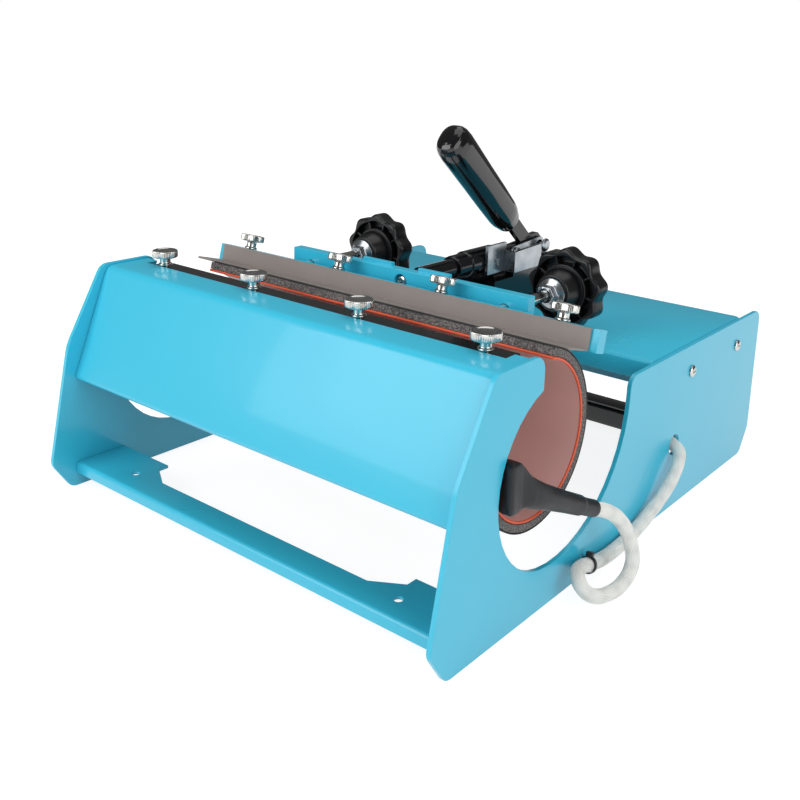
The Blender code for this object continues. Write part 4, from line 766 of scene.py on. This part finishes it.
@dataclass
class HeatingMat:
    """The mat that wraps the mug: heater face, sponge and skin, open at the top, with a sealed rim."""

    centre: tuple[float, float] = (99.8, 105.0)
    bore_radius: float = 46.0
    liner: float = 1.5
    sponge: float = 4.8
    skin: float = 0.6
    left_end: float = -126.0
    right_end: float = 165.0
    front_angle: float = 125.6
    rear_angle: float = 437.0
    face_setback: float = 2.5
    steps: int = 121
    rim_radius: float = 0.85
    rim_rise: float = 0.7
    rim_inset: float = 0.55
    rim_setback: float = 3.0
    row_inset: float = 0.3
    row_points: int = 60
    bend_lead: float = 12.0
    bend_reach: float = 0.8

    def build(self) -> None:
        """Build the three layers and the rim, which bend between the frame and the jaw."""
        sponge_radius = self.bore_radius + self.liner + GAP
        skin_radius = sponge_radius + self.sponge + GAP
        layers = (
            ("mat_heater_face", self.bore_radius, self.liner, LINER, "mat_heater"),
            ("mat_sponge", sponge_radius, self.sponge, FOAM, "mat_foam"),
            ("mat_cloth_skin", skin_radius, self.skin, SKIN, "mat_skin"),
        )
        for name, radius, thickness, finish, node in layers:
            start = self.front_angle + (self.face_setback if name == "mat_heater_face" else 0)
            path = arc_path(self.centre, radius, start, self.rear_angle, self.steps)
            edge = min(thickness * 0.3, 0.5)
            points, faces = bent_strip(path, self.left_end, self.right_end, thickness, edge)
            self.bend(new_piece(name, points, faces, finish), finish, node)
        rim, start = self.bore_radius + self.rim_rise, self.front_angle + self.rim_setback
        arc = arc_path(self.centre, rim, start, self.rear_angle, self.steps)
        for end, x in (("left", self.left_end + self.rim_inset), ("right", self.right_end - self.rim_inset)):
            line = np.stack([np.full(len(arc), x), back(arc[:, 0]), arc[:, 1]], 1)
            self.bead(f"mat_rim_{end}", line)
        row = np.linspace(self.left_end + self.row_inset, self.right_end - self.row_inset, self.row_points)
        last = np.array([back(arc[-1, 0]), arc[-1, 1]])
        self.bead("mat_rim_rear", np.column_stack([row, np.tile(last, (self.row_points, 1))]))

    def bead(self, name: str, line: np.ndarray) -> None:
        """One bead of the sealant rim.

        Args:
            name: the piece's name.
            line: its middle line, in millimetres.
        """
        points, faces, _ = tube(line, self.rim_radius, 10)
        self.bend(new_piece(name, points, faces, RIM), RIM)

    def bend(self, piece: bpy.types.Object, finish: Finish, *nodes: str) -> None:
        """Let a layer bend from the frame at its bottom to the moving jaw at its rear.

        Args:
            piece: the layer.
            finish: its finish.
            nodes: the CAD nodes that it replaces.
        """
        depth, height = self.centre
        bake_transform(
            piece, "frame", "pusher",
            start=(0, back(depth - self.bend_lead) * MM, height * MM),
            end=(0, back(depth + self.bore_radius * self.bend_reach) * MM, height * MM),
        )
        settle(piece, "frame", finish, *nodes)


@dataclass
class Thumbscrew:
    """A thumbscrew with a knurled rim, a dished top, a turned collar and a threaded stem."""

    head_radius: float = 8.8
    head: float = 5.0
    collar_radius: float = 4.8
    collar: float = 5.7
    stem_radius: float = 2.5
    stem: float = 10.0
    knurls: int = 46
    knurl_depth: float = 0.3

    def build(
        self, name: str, seat: Sequence[float], direction: Sequence[float], body: str, node: str
    ) -> None:
        """Build one thumbscrew.

        Args:
            name: the piece's name.
            seat: the point that the collar stands on.
            direction: from the seat to the head.
            body: the body that carries it.
            node: the CAD node that it replaces.
        """
        low, top = self.collar, self.collar + self.head
        corners = (
            (0, top - 0.7, 0), (self.head_radius - 2.4, top - 0.7, 0.8), (self.head_radius - 1.5, top, 0.5),
            (self.head_radius, top - 0.1, 0.9), (self.head_radius, low + 0.1, 0.9),
            (self.head_radius - 1.6, low - 0.1, 0.5), (self.collar_radius - 1.1, low - 0.3, 0.8),
            (self.collar_radius - 1.1, 1.6, 0.7), (self.collar_radius, 1.1, 0.4),
            (self.collar_radius, 0, 0.3), (self.stem_radius, 0, 0.1),
            (self.stem_radius, -self.stem, 0.5), (0, -self.stem, 0),
        )
        profile = rounded_profile(corners)
        radius = np.array([p[0] for p in profile])
        height = np.array([p[1] for p in profile])
        sides = self.knurls * 4
        angle = np.arange(sides) * TURN / sides
        ripple = -self.knurl_depth * (0.5 - 0.5 * np.cos(self.knurls * angle))
        share = ((radius > self.head_radius - 0.25) & (height > low) & (height < top)).astype(float)
        points, faces = turned(profile, seat, direction, sides, ripple, share)
        settle(new_piece(name, points, faces, CHROME, 30), body, CHROME, node)


@dataclass
class Clamps:
    """The front clamp bar with its bracket, the moving jaw, and the eight thumbscrews."""

    screw_xs: tuple[float, ...] = (-139.5, -46.5, 46.5, 139.5)
    screw_back: float = 81.2
    cover_top: float = 156.6
    jaw_back: float = 156.8
    jaw_top: float = 157.0
    jaw_thickness: float = 9.0
    jaw_tilt: float = math.radians(15)
    screw: Thumbscrew = field(default_factory=Thumbscrew)

    def build(self) -> None:
        """Build bars, brackets and thumbscrews."""
        softened("front_clamp_bar", "front_clamp_bar_plate", BLACK_PAINT, 0.5)
        softened("mat_bracket_front", "mat_bracket_front_strip", GREY_STEEL, 0.25)
        softened("mat_bracket_rear", "mat_bracket_rear_strip", GREY_STEEL, 0.3)
        softened("jaw_bar", "jaw_bar_section", POWDER_COAT, 0.5)
        lean = np.array([0, math.sin(self.jaw_tilt), math.cos(self.jaw_tilt)])
        level = np.array([0, math.cos(self.jaw_tilt), -math.sin(self.jaw_tilt)])
        corner = np.array([0, back(self.jaw_back), self.jaw_top])
        for number, x in enumerate(self.screw_xs, start=1):
            seat = (x, back(self.screw_back), self.cover_top + GAP)
            name = f"front_thumbscrew_{number}"
            self.screw.build(name + "_knurled", seat, (0, 0, 1), f"front_screw_{number}", name)
            seat = corner + level * self.jaw_thickness / 2 + lean * GAP + np.array([x, 0, 0])
            name = f"rear_thumbscrew_{number}"
            self.screw.build(name + "_knurled", seat, lean, f"rear_screw_{number}", name)


@dataclass
class StarKnob:
    """A nine-lobed knob with rounded lobes, a ribbed ring recess, a hub, its rod and its flanged nut."""

    x: float = 88.0
    height: float = 149.7
    knob_back: float = 233.0
    radius: float = 29.5
    lobe_depth: float = 3.4
    lobes: int = 9
    thickness: float = 16.0
    hub_radius: float = 16.0
    hub_length: float = 14.0
    recess_outer: float = 24.0
    recess_inner: float = 18.0
    recess_depth: float = 7.0
    rod_radius: float = 3.8
    rod_start: float = 160.8
    nut_radius: float = 6.8
    nut_length: float = 6.0
    flange_radius: float = 10.8
    flange: float = 2.5
    rod_overrun: float = 20.0

    def build(self) -> None:
        """Build the knob, rod and nut of both sides."""
        for side, end in ((-1, "left"), (1, "right")):
            body = f"knob_{end}"
            axis_point = (side * self.x, back(self.knob_back), self.height)
            points, faces = self.star(axis_point)
            knob = new_piece(f"star_knob_{end}_lobed", points, faces, BLACK_PHENOLIC, 50)
            settle(knob, body, BLACK_PHENOLIC, f"star_knob_{end}")
            settle(self.ribs(f"star_knob_{end}_ribs", axis_point), body, BLACK_PHENOLIC)
            self.rod(end, side, body)
            self.nut(end, axis_point, body)

    def star(self, origin: Sequence[float]) -> tuple[np.ndarray, np.ndarray]:
        """Points and faces of the star: its lobes are -depth * sin^2(lobes * angle / 2) from the rim."""
        face, rear = self.hub_length, self.hub_length + self.thickness
        rim = self.radius
        corners = (
            (0, 0.5, 0), (self.nut_radius, 0.5, 0), (self.nut_radius + 1, 0, 0.4),
            (self.hub_radius - 3.2, 0, 1.2), (self.hub_radius, face - 3.5, 2.5),
            (self.hub_radius, face, 0.3), (self.recess_inner, face, 0.8),
            (self.recess_inner + 0.6, face + self.recess_depth, 0.5),
            (self.recess_outer - 0.6, face + self.recess_depth, 0.5), (self.recess_outer, face, 0.9),
            (rim, face, 3.4), (rim, rear - 1.5, 3.8), (rim - 6, rear, 2), (12, rear, 3), (0, rear, 0),
        )
        profile = rounded_profile(corners, 6)
        reach = np.array([p[0] for p in profile])
        share = np.clip((reach - self.recess_outer + 0.6) / (rim - self.recess_outer), 0, 1)
        sides = self.lobes * 24
        angle = np.arange(sides) * TURN / sides
        ripple = -self.lobe_depth * np.sin(self.lobes * angle / 2) ** 2
        return turned(profile, origin, (0, 1, 0), sides, ripple, share)

    def ribs(self, name: str, origin: Sequence[float]) -> bpy.types.Object:
        """Radial ribs across the ring recess, one behind each lobe: thin superelliptic bars."""
        first, second, along = across((0, 1, 0))
        all_points, all_faces, count = [], [], 0
        for number in range(self.lobes):
            angle = TURN * (number + 0.5) / self.lobes
            outwards = first * math.cos(angle) + second * math.sin(angle)
            sideways = np.cross(along, outwards)
            inner = np.asarray(origin) + outwards * (self.recess_inner - 0.4)
            outer = np.asarray(origin) + outwards * (self.recess_outer + 0.2)
            middle = along * (self.hub_length + self.recess_depth / 2 + 1.6)
            points, faces = lofted(
                np.stack([inner + middle, outer + middle]), np.stack([sideways * 0.8] * 2),
                np.stack([along * (self.recess_depth / 2)] * 2), np.array([6.0, 6.0]), 12,
            )
            all_points.append(points)
            all_faces += [[i + count for i in f] for f in faces]
            count += len(points)
        return new_piece(name, np.vstack(all_points), all_faces, BLACK_PHENOLIC, 40)

    def rod(self, end: str, side: int, body: str) -> None:
        """The adjusting rod, plain."""
        length = self.knob_back + self.rod_overrun - self.rod_start
        corners = [(0, 0, 0), (self.rod_radius - 0.5, 0, 0.2), (self.rod_radius, 0.6, 0.2)]
        corners += [(self.rod_radius, length - 0.4, 0.2), (0, length, 0)]
        origin = (side * self.x, back(self.rod_start), self.height)
        points, faces = turned(rounded_profile(corners), origin, (0, 1, 0), 40)
        rod = new_piece(f"adjusting_rod_{end}_turned", points, faces, CHROME)
        settle(rod, body, CHROME, f"adjusting_rod_{end}")

    def nut(self, end: str, origin: Sequence[float], body: str) -> None:
        """The flanged nut before the knob: a hexagon whose flats lie cos(30)/cos(angle) from the axis."""
        start = np.asarray(origin, float) - (0, GAP, 0)
        hole, tall = self.rod_radius + GAP, self.flange + self.nut_length
        corners = (
            (hole, 0, 0), (self.flange_radius - 0.3, 0, 0.2), (self.flange_radius, 0.8, 0.4),
            (self.nut_radius + 0.6, self.flange, 0.6), (self.nut_radius, self.flange + 0.8, 0.3),
            (self.nut_radius, tall - 0.6, 0.5), (self.nut_radius - 1.2, tall, 0.3), (hole, tall, 0),
            (hole, 0, 0),
        )
        profile = rounded_profile(corners, 3)
        sides = 96
        angle = np.arange(sides) * TURN / sides
        sixth = (angle + TURN / 12) % (TURN / 6) - TURN / 12
        flats = self.nut_radius * (math.cos(TURN / 12) / np.cos(sixth) - 1) * 0.95
        share = np.array([
            1.0 if h > self.flange + 0.3 and r > self.nut_radius - 1.5 else 0.0 for r, h in profile
        ])
        points, faces = turned(profile, start, (0, -1, 0), sides, flats, share)
        nut = new_piece(f"flange_nut_{end}_hexagon", points, faces, ZINC, 30)
        settle(nut, body, ZINC, f"flange_nut_{end}")


@dataclass
class ToggleClamp:
    """The toggle clamp: black body, plated bracket and links, plunger, pins, lever and grip."""

    axis_height: float = 152.5
    barrel_back: float = 234.0
    barrel_length: float = 51.0
    barrel_radius: float = 9.0
    barrel_step: float = 15.0
    barrel_rear_radius: float = 10.1
    plunger_radius: float = 7.0
    pivot: tuple[float, float] = (352.8, 141.0)
    lever_angle: float = math.radians(138.6)
    grip_start: float = 57.0
    grip_length: float = 112.0
    grip_width: float = 22.0
    grip_depth: float = 26.5
    grip_offset: float = 2.0
    sleeve: float = 0.15
    screw_back: float = 178.1
    screw_radius: float = 4.6
    screw_head: float = 2.6

    def build(self) -> None:
        """Build the clamp, from the plated pieces to the grip."""
        for node, finish, edge in (
            ("clamp_body", BLACK_PAINT, 0.6), ("plunger", BLACK_PAINT, 0.4),
            ("push_bar", POWDER_COAT, 0.5), ("clamp_bracket", ZINC, 0.35),
            ("toggle_link_left", ZINC, 0.3), ("toggle_link_right", ZINC, 0.3),
            ("lever_pivot_pin", ZINC, 0.5), ("plunger_pin", ZINC, 0.5), ("crank_pin", ZINC, 0.4),
            ("handle_lever", BLACK_PAINT, 0.4),
        ):
            softened(node, node + "_finished", finish, edge)
        self.barrel()
        self.grip()
        origin = (0, back(self.screw_back), self.axis_height)
        driven_screw(
            "plunger_screw_head", origin, (0, -1, 0), self.screw_radius, self.screw_head,
            CHROME, "pusher", "plunger_screw",
        )

    def barrel(self) -> None:
        """A round sleeve over the guide barrel, thicker behind a narrow shoulder."""
        bore = self.plunger_radius + 0.5
        front, rear = self.barrel_radius + self.sleeve, self.barrel_rear_radius + self.sleeve
        corners = (
            (bore, 0.1, 0), (front - 0.75, 0, 0.6), (front, 1.0, 0.8),
            (front, self.barrel_step - 0.3, 0.2), (rear - 0.5, self.barrel_step, 0.2),
            (rear, self.barrel_step + 0.6, 0.4),
            (rear, self.barrel_length - 1, 0.8), (bore, self.barrel_length, 0.5), (bore, 0.1, 0),
        )
        origin = (0, back(self.barrel_back) - self.sleeve, self.axis_height)
        points, faces = turned(rounded_profile(corners), origin, (0, 1, 0), 64)
        settle(new_piece("clamp_barrel_sleeve", points, faces, BLACK_PAINT), "frame", BLACK_PAINT)

    def grip(self) -> None:
        """The dipped grip: superellipses that swell towards a blunt, domed end."""
        cos, sin = math.cos(self.lever_angle), math.sin(self.lever_angle)
        along = np.array([0, cos, sin])
        deep = np.array([0, -sin, cos])
        start = np.array([0, back(self.pivot[0]), self.pivot[1]]) + deep * self.grip_offset
        # share of the length, and swell of the section there
        stations = np.array([
            (0.0, 0.55), (0.004, 0.66), (0.015, 0.75), (0.05, 0.83), (0.09, 0.92), (0.13, 0.965),
            (0.3, 1.0), (0.55, 1.02), (0.8, 1.06), (0.88, 1.07), (0.93, 1.03), (0.96, 0.95),
            (0.98, 0.83), (0.992, 0.66),
            (0.998, 0.42), (1.0, 0.15),
        ])
        finer = np.linspace(0, len(stations) - 1, 76)
        number = np.arange(len(stations))
        share, swell = (np.interp(finer, number, stations[:, k]) for k in (0, 1))
        centres = start + along * (self.grip_start + self.grip_length * share)[:, None]
        wide = np.outer(swell * self.grip_width / 2, [1.0, 0, 0])
        tall = swell[:, None] * deep * self.grip_depth / 2
        points, faces = lofted(centres, wide, tall, np.full(len(share), 2.5), 56)
        grip = new_piece("handle_grip_dipped", points, faces, GRIP_VINYL, 60)
        settle(grip, "handle", GRIP_VINYL, "handle_grip")


@dataclass
class HeaterLead:
    """The heater's lead: moulded boot, braided sleeve on its route, and the tie that holds it."""

    radius: float = 4.4
    tie_at: int = 14
    tie_width: float = 3.0
    tie_thickness: float = 0.8
    per_span: int = 8
    sides: int = 84
    ribs: int = 28
    rib_depth: float = 0.16
    boot_clearance: float = 4 * GAP
    neck: tuple[float, float, float] = (10.2, 58.5, -28.0)
    neck_from: float = 70.0
    neck_span: float = 14.0
    route: tuple[tuple[float, float, float], ...] = (
        (184.0, 134.5, 57.0), (187.0, 142.0, 54.0), (190.5, 150.0, 48.5), (194.0, 156.5, 39.5),
        (196.5, 161.0, 28.0), (198.0, 162.0, 17.5), (198.0, 157.5, 9.3), (197.3, 148.5, 5.4),
        (196.0, 139.0, 4.9), (193.5, 130.5, 5.6), (190.0, 123.5, 9.0), (185.8, 120.5, 15.0),
        (181.0, 125.5, 18.5), (178.0, 136.0, 16.5), (176.4, 147.0, 12.4), (175.4, 158.0, 9.0),
        (175.2, 172.0, 7.0), (175.2, 187.0, 6.8), (175.2, 203.0, 8.0), (175.3, 220.0, 11.4),
        (176.0, 236.5, 17.4), (177.4, 251.0, 26.2), (178.0, 262.0, 37.0), (175.5, 269.5, 45.5),
        (168.0, 273.0, 48.8), (160.0, 278.0, 50.0), (151.0, 289.0, 51.0), (142.0, 305.0, 53.0),
        (133.0, 322.0, 56.0), (123.0, 339.0, 60.0), (111.0, 353.0, 63.5), (97.0, 362.0, 66.0),
    )

    def build(self) -> None:
        corners = np.array([(x, back(y), z) for x, y, z in self.route])
        step = corners[1] - corners[0]
        corners[0] = corners[0] + step / np.linalg.norm(step) * self.boot_clearance
        path = smooth_route(corners, self.per_span)
        points, faces, uv = tube(path, self.radius, self.sides, self.ribs, self.rib_depth)
        lead = new_piece("heater_lead_braided", points, faces, GLASS_BRAID, 60, uv)
        settle(lead, "frame", GLASS_BRAID, "heater_lead")
        boot = self.boot()
        band, head = self.tie(corners)

    def boot(self) -> bpy.types.Object:
        """The boot: squarish at the mat, flaring down to a round neck with a stepped collar."""
        # x, back, height, half width in x, half height, power of the section
        rings = np.array([
            (170.3, 60.5, 91.0, 3.6, 13.2, 7), (170.3, 61.3, 91.0, 4.7, 14.6, 7),
            (170.3, 63.0, 91.0, 5.0, 15.0, 7), (170.3, 66.5, 91.0, 5.0, 15.0, 7),
            (170.4, 69.5, 90.5, 5.1, 14.0, 6), (170.9, 71.8, 89.3, 5.5, 12.0, 5),
            (171.8, 74.2, 87.4, 6.0, 10.2, 3.6), (172.9, 77.0, 85.2, 6.4, 9.1, 2.8),
            (174.2, 82.0, 82.2, 6.6, 8.2, 2.3), (175.8, 90.0, 78.2, 6.5, 7.3, 2),
            (177.6, 99.0, 73.9, 6.2, 6.7, 2), (179.2, 108.0, 69.6, 6.0, 6.3, 2),
            (180.8, 117.0, 65.3, 5.9, 6.1, 2), (181.5, 120.5, 63.6, 5.8, 6.0, 2),
            (181.6, 120.9, 63.4, 5.1, 5.3, 2), (182.8, 127.5, 60.3, 5.0, 5.2, 2),
            (183.8, 133.3, 57.6, 5.0, 5.2, 2), (184.0, 134.3, 57.1, 4.8, 5.0, 2),
            (184.0, 134.5, 57.0, 4.0, 4.0, 2),
        ])
        number = np.arange(len(rings))
        finer = np.linspace(0, len(rings) - 1, 96)
        table = np.stack([np.interp(finer, number, rings[:, k]) for k in range(6)], 1)
        centres = np.stack([table[:, 0], back(table[:, 1]), table[:, 2]], 1)
        # each ring turns from facing straight back to facing along the neck
        turn = np.clip((table[:, 1] - self.neck_from) / self.neck_span, 0, 1)
        neck = np.array(self.neck) / np.linalg.norm(self.neck)
        along = (1 - turn)[:, None] * np.array([0, 1.0, 0]) + turn[:, None] * neck
        along /= np.linalg.norm(along, axis=1, keepdims=True)
        wide = np.cross(along, [0, 0, 1.0])
        wide /= np.linalg.norm(wide, axis=1, keepdims=True)
        tall = np.cross(wide, along)
        points, faces = lofted(centres, wide * table[:, 3:4], tall * table[:, 4:5], table[:, 5], 48)
        piece = new_piece("lead_boot_moulded", points, faces, BOOT_RUBBER, 50)
        return settle(piece, "frame", BOOT_RUBBER, "lead_boot")

    def tie(self, corners: np.ndarray) -> tuple[bpy.types.Object, bpy.types.Object]:
        """The tie's band round the lead, and its head.

        Args:
            corners: the route's corners, in millimetres.

        Returns:
            Band and head.
        """
        at, along = corners[self.tie_at], corners[self.tie_at + 1] - corners[self.tie_at - 1]
        inner, half = self.radius + GAP, self.tie_width / 2
        outer = inner + self.tie_thickness
        ring = (
            (inner, -half, 0), (outer, -half, 0.4), (outer, half, 0.4), (inner, half, 0), (inner, -half, 0),
        )
        points, faces = turned(rounded_profile(ring, 3), at, along, 48)
        band = new_piece("cable_tie_band", points, faces, BLACK_PHENOLIC)
        settle(band, "frame", BLACK_PHENOLIC, "cable_tie")
        axis = across(along)[2]
        upwards = np.array([0, 0, 1.0]) - axis * axis[2]
        upwards /= np.linalg.norm(upwards)
        sideways = np.cross(axis, upwards)
        base = at + upwards * (outer - 0.3)
        heights = np.array([0, 0.4, 2.4, 2.8])
        size = np.array([2.0, 2.3, 2.3, 1.9])
        points, faces = lofted(
            base + upwards * heights[:, None], sideways * size[:, None], axis * size[:, None] * 0.9,
            np.full(4, 6.0), 24,
        )
        head = new_piece("cable_tie_head", points, faces, BLACK_PHENOLIC)
        return band, settle(head, "frame", BLACK_PHENOLIC)


@dataclass
class ControlBox:
    """The panel at the rear with its display, keys, switch, inlet and circuit board."""

    sheet_edge: float = 0.4
    moulded_edge: float = 0.5
    window_edge: float = 0.3
    rocker_edge: float = 0.6
    board_edge: float = 0.15

    def build(self) -> None:
        """Dress every piece of the controls."""
        moulded = (BLACK_PHENOLIC, self.moulded_edge)
        pillar = (BRASS, self.window_edge)
        for node, (finish, edge) in {
            "control_panel": (POWDER_COAT, self.sheet_edge), "display_module": moulded,
            "display_window": (WINDOW, self.window_edge), "key_1": moulded, "key_2": moulded,
            "key_3": moulded, "switch_frame": moulded, "rocker": (RED_PLASTIC, self.rocker_edge),
            "mains_inlet": moulded, "circuit_board": (BOARD, self.board_edge),
            "relay": (BLACK_PHENOLIC, self.sheet_edge), "board_pillar_left": pillar,
            "board_pillar_right": pillar,
        }.items():
            softened(node, node + "_finished", finish, edge)


@dataclass
class Studio:
    """Floor, soft lights and the camera."""

    eye: tuple[float, float, float] = (433.79, -553.59, 325.08)
    yaw: float = math.radians(38.384)
    pitch: float = math.radians(14.142)
    roll: float = math.radians(1.632)
    focal_pixels: float = 999.6
    image_pixels: float = 800.0
    shift: tuple[float, float] = (-0.03, -0.15)
    sensor_mm: float = 36.0
    middle: tuple[float, float, float] = (0, 0, 90)
    floor_reach: float = 40000.0
    floor_drop: float = 0.0004
    floor_share: float = 0.6
    floor_glow: float = 1.44
    floor_grey: float = 0.85
    world_diffuse: float = 0.4
    world_glossy: float = 0.12

    def build(self) -> None:
        """Set up the camera, the floor, the world and the lamps."""
        bpy.context.scene.view_settings.view_transform = "Standard"
        self.camera()
        self.floor()
        self.world()
        self.lamp("key", (-700, -1700, 1000), 1.5, 23)
        self.lamp("fill", (1600, -500, 800), 1.4, 13)
        self.lamp("top", (0, 300, 1700), 1.6, 9)

    def camera(self) -> None:
        """The camera, from its heading, tilt and roll."""
        data = bpy.data.cameras.new("camera")
        data.sensor_width = self.sensor_mm
        data.lens = self.focal_pixels / self.image_pixels * data.sensor_width
        data.shift_x, data.shift_y = self.shift
        data.clip_start, data.clip_end = 0.02, 100
        sin, cos = math.sin, math.cos
        heading = Vector((-sin(self.yaw), cos(self.yaw), 0))
        forward = heading * cos(self.pitch) - Vector((0, 0, sin(self.pitch)))
        level = Vector((cos(self.yaw), sin(self.yaw), 0))
        upright = level.cross(forward)
        right = level * cos(self.roll) + upright * sin(self.roll)
        up = upright * cos(self.roll) - level * sin(self.roll)
        camera = bpy.data.objects.new("camera", data)
        turn = Matrix((right, up, -forward)).transposed().to_4x4()
        camera.matrix_world = Matrix.Translation(Vector(self.eye) * MM) @ turn
        bpy.context.scene.collection.objects.link(camera)
        bpy.context.scene.camera = camera

    def floor(self) -> None:
        """A pale floor that shows white to the camera and keeps a soft shadow."""
        points = np.array([(-1, -1, 0), (1, -1, 0), (1, 1, 0), (-1, 1, 0)]) * self.floor_reach
        mesh = bpy.data.meshes.new("studio_floor")
        mesh.from_pydata((points * MM).tolist(), [], [(0, 1, 2, 3)])
        floor = bpy.data.objects.new("studio_floor", mesh)
        floor.location.z = CAD_BOX[0].z - self.floor_drop
        bpy.context.scene.collection.objects.link(floor)
        material = bpy.data.materials.new("pale_studio_floor")
        material.use_nodes = True
        tree = material.node_tree
        tree.nodes.clear()
        ray = add_node(tree, "LightPath")
        seen = add_node(
            tree, "Math", {0: ray.outputs["Is Camera Ray"], 1: ray.outputs["Is Glossy Ray"]},
            operation="MAXIMUM",
        )
        seen = add_node(
            tree, "Math", {0: seen.outputs[0], 1: ray.outputs["Is Transmission Ray"]}, operation="MAXIMUM"
        )
        share = add_node(tree, "Math", {0: seen.outputs[0], 1: self.floor_share}, operation="MULTIPLY")
        matt = add_node(tree, "BsdfDiffuse", {"Color": (self.floor_grey,) * 3 + (1,)})
        white = add_node(tree, "Emission", {"Color": (1, 1, 1, 1), "Strength": self.floor_glow})
        both = add_node(tree, "MixShader", {0: share.outputs[0], 1: matt.outputs[0], 2: white.outputs[0]})
        add_node(tree, "OutputMaterial", {"Surface": both.outputs[0]})
        mesh.materials.append(material)

    def world(self) -> None:
        """White to the camera, dim in reflections, and a plain grey-white light otherwise."""
        world = bpy.data.worlds.new("studio")
        bpy.context.scene.world = world
        world.use_nodes = True
        tree = world.node_tree
        tree.nodes.clear()
        ray = add_node(tree, "LightPath")
        seen = add_node(
            tree, "Math", {0: ray.outputs["Is Camera Ray"], 1: ray.outputs["Is Transmission Ray"]},
            operation="MAXIMUM",
        )
        diffuse = add_node(
            tree, "MapRange",
            {"Value": ray.outputs["Is Glossy Ray"],
             "To Min": self.world_diffuse, "To Max": self.world_glossy},
        )
        strength = add_node(
            tree, "MapRange", {"Value": seen.outputs[0], "To Min": diffuse.outputs[0], "To Max": 1.0}
        )
        light = add_node(tree, "Background", {"Color": (1, 1, 1, 1), "Strength": strength.outputs[0]})
        add_node(tree, "OutputWorld", {"Surface": light.outputs[0]})

    def lamp(self, name: str, place: Sequence[float], size: float, power: float) -> None:
        """One square soft lamp, turned to the middle of the object.

        Args:
            name: its name.
            place: where it hangs, in millimetres.
            size: its side in metres.
            power: its power in watts.
        """
        data = bpy.data.lights.new(name, "AREA")
        data.size = size
        data.energy = power
        lamp = bpy.data.objects.new(name, data)
        lamp.location = Vector(place) * MM
        lamp.rotation_mode = "QUATERNION"
        lamp.rotation_quaternion = (Vector(place) - Vector(self.middle)).to_track_quat("Z", "Y")
        bpy.context.scene.collection.objects.link(lamp)


def main() -> None:
    """Build the studio and every sub-assembly."""
    logging.basicConfig(level=logging.INFO, format="%(name)s: %(message)s")
    Studio().build()
    HeaterLead().build()
    SheetFrame().build()
    HeatingMat().build()
    Clamps().build()
    StarKnob().build()
    ToggleClamp().build()
    ControlBox().build()
    shown = [node for node, item in frame["nodes"].items() if not item.hide_render]
    LOG.info("CAD nodes still showing: %s", shown)


if __name__ == "__main__":
    main()
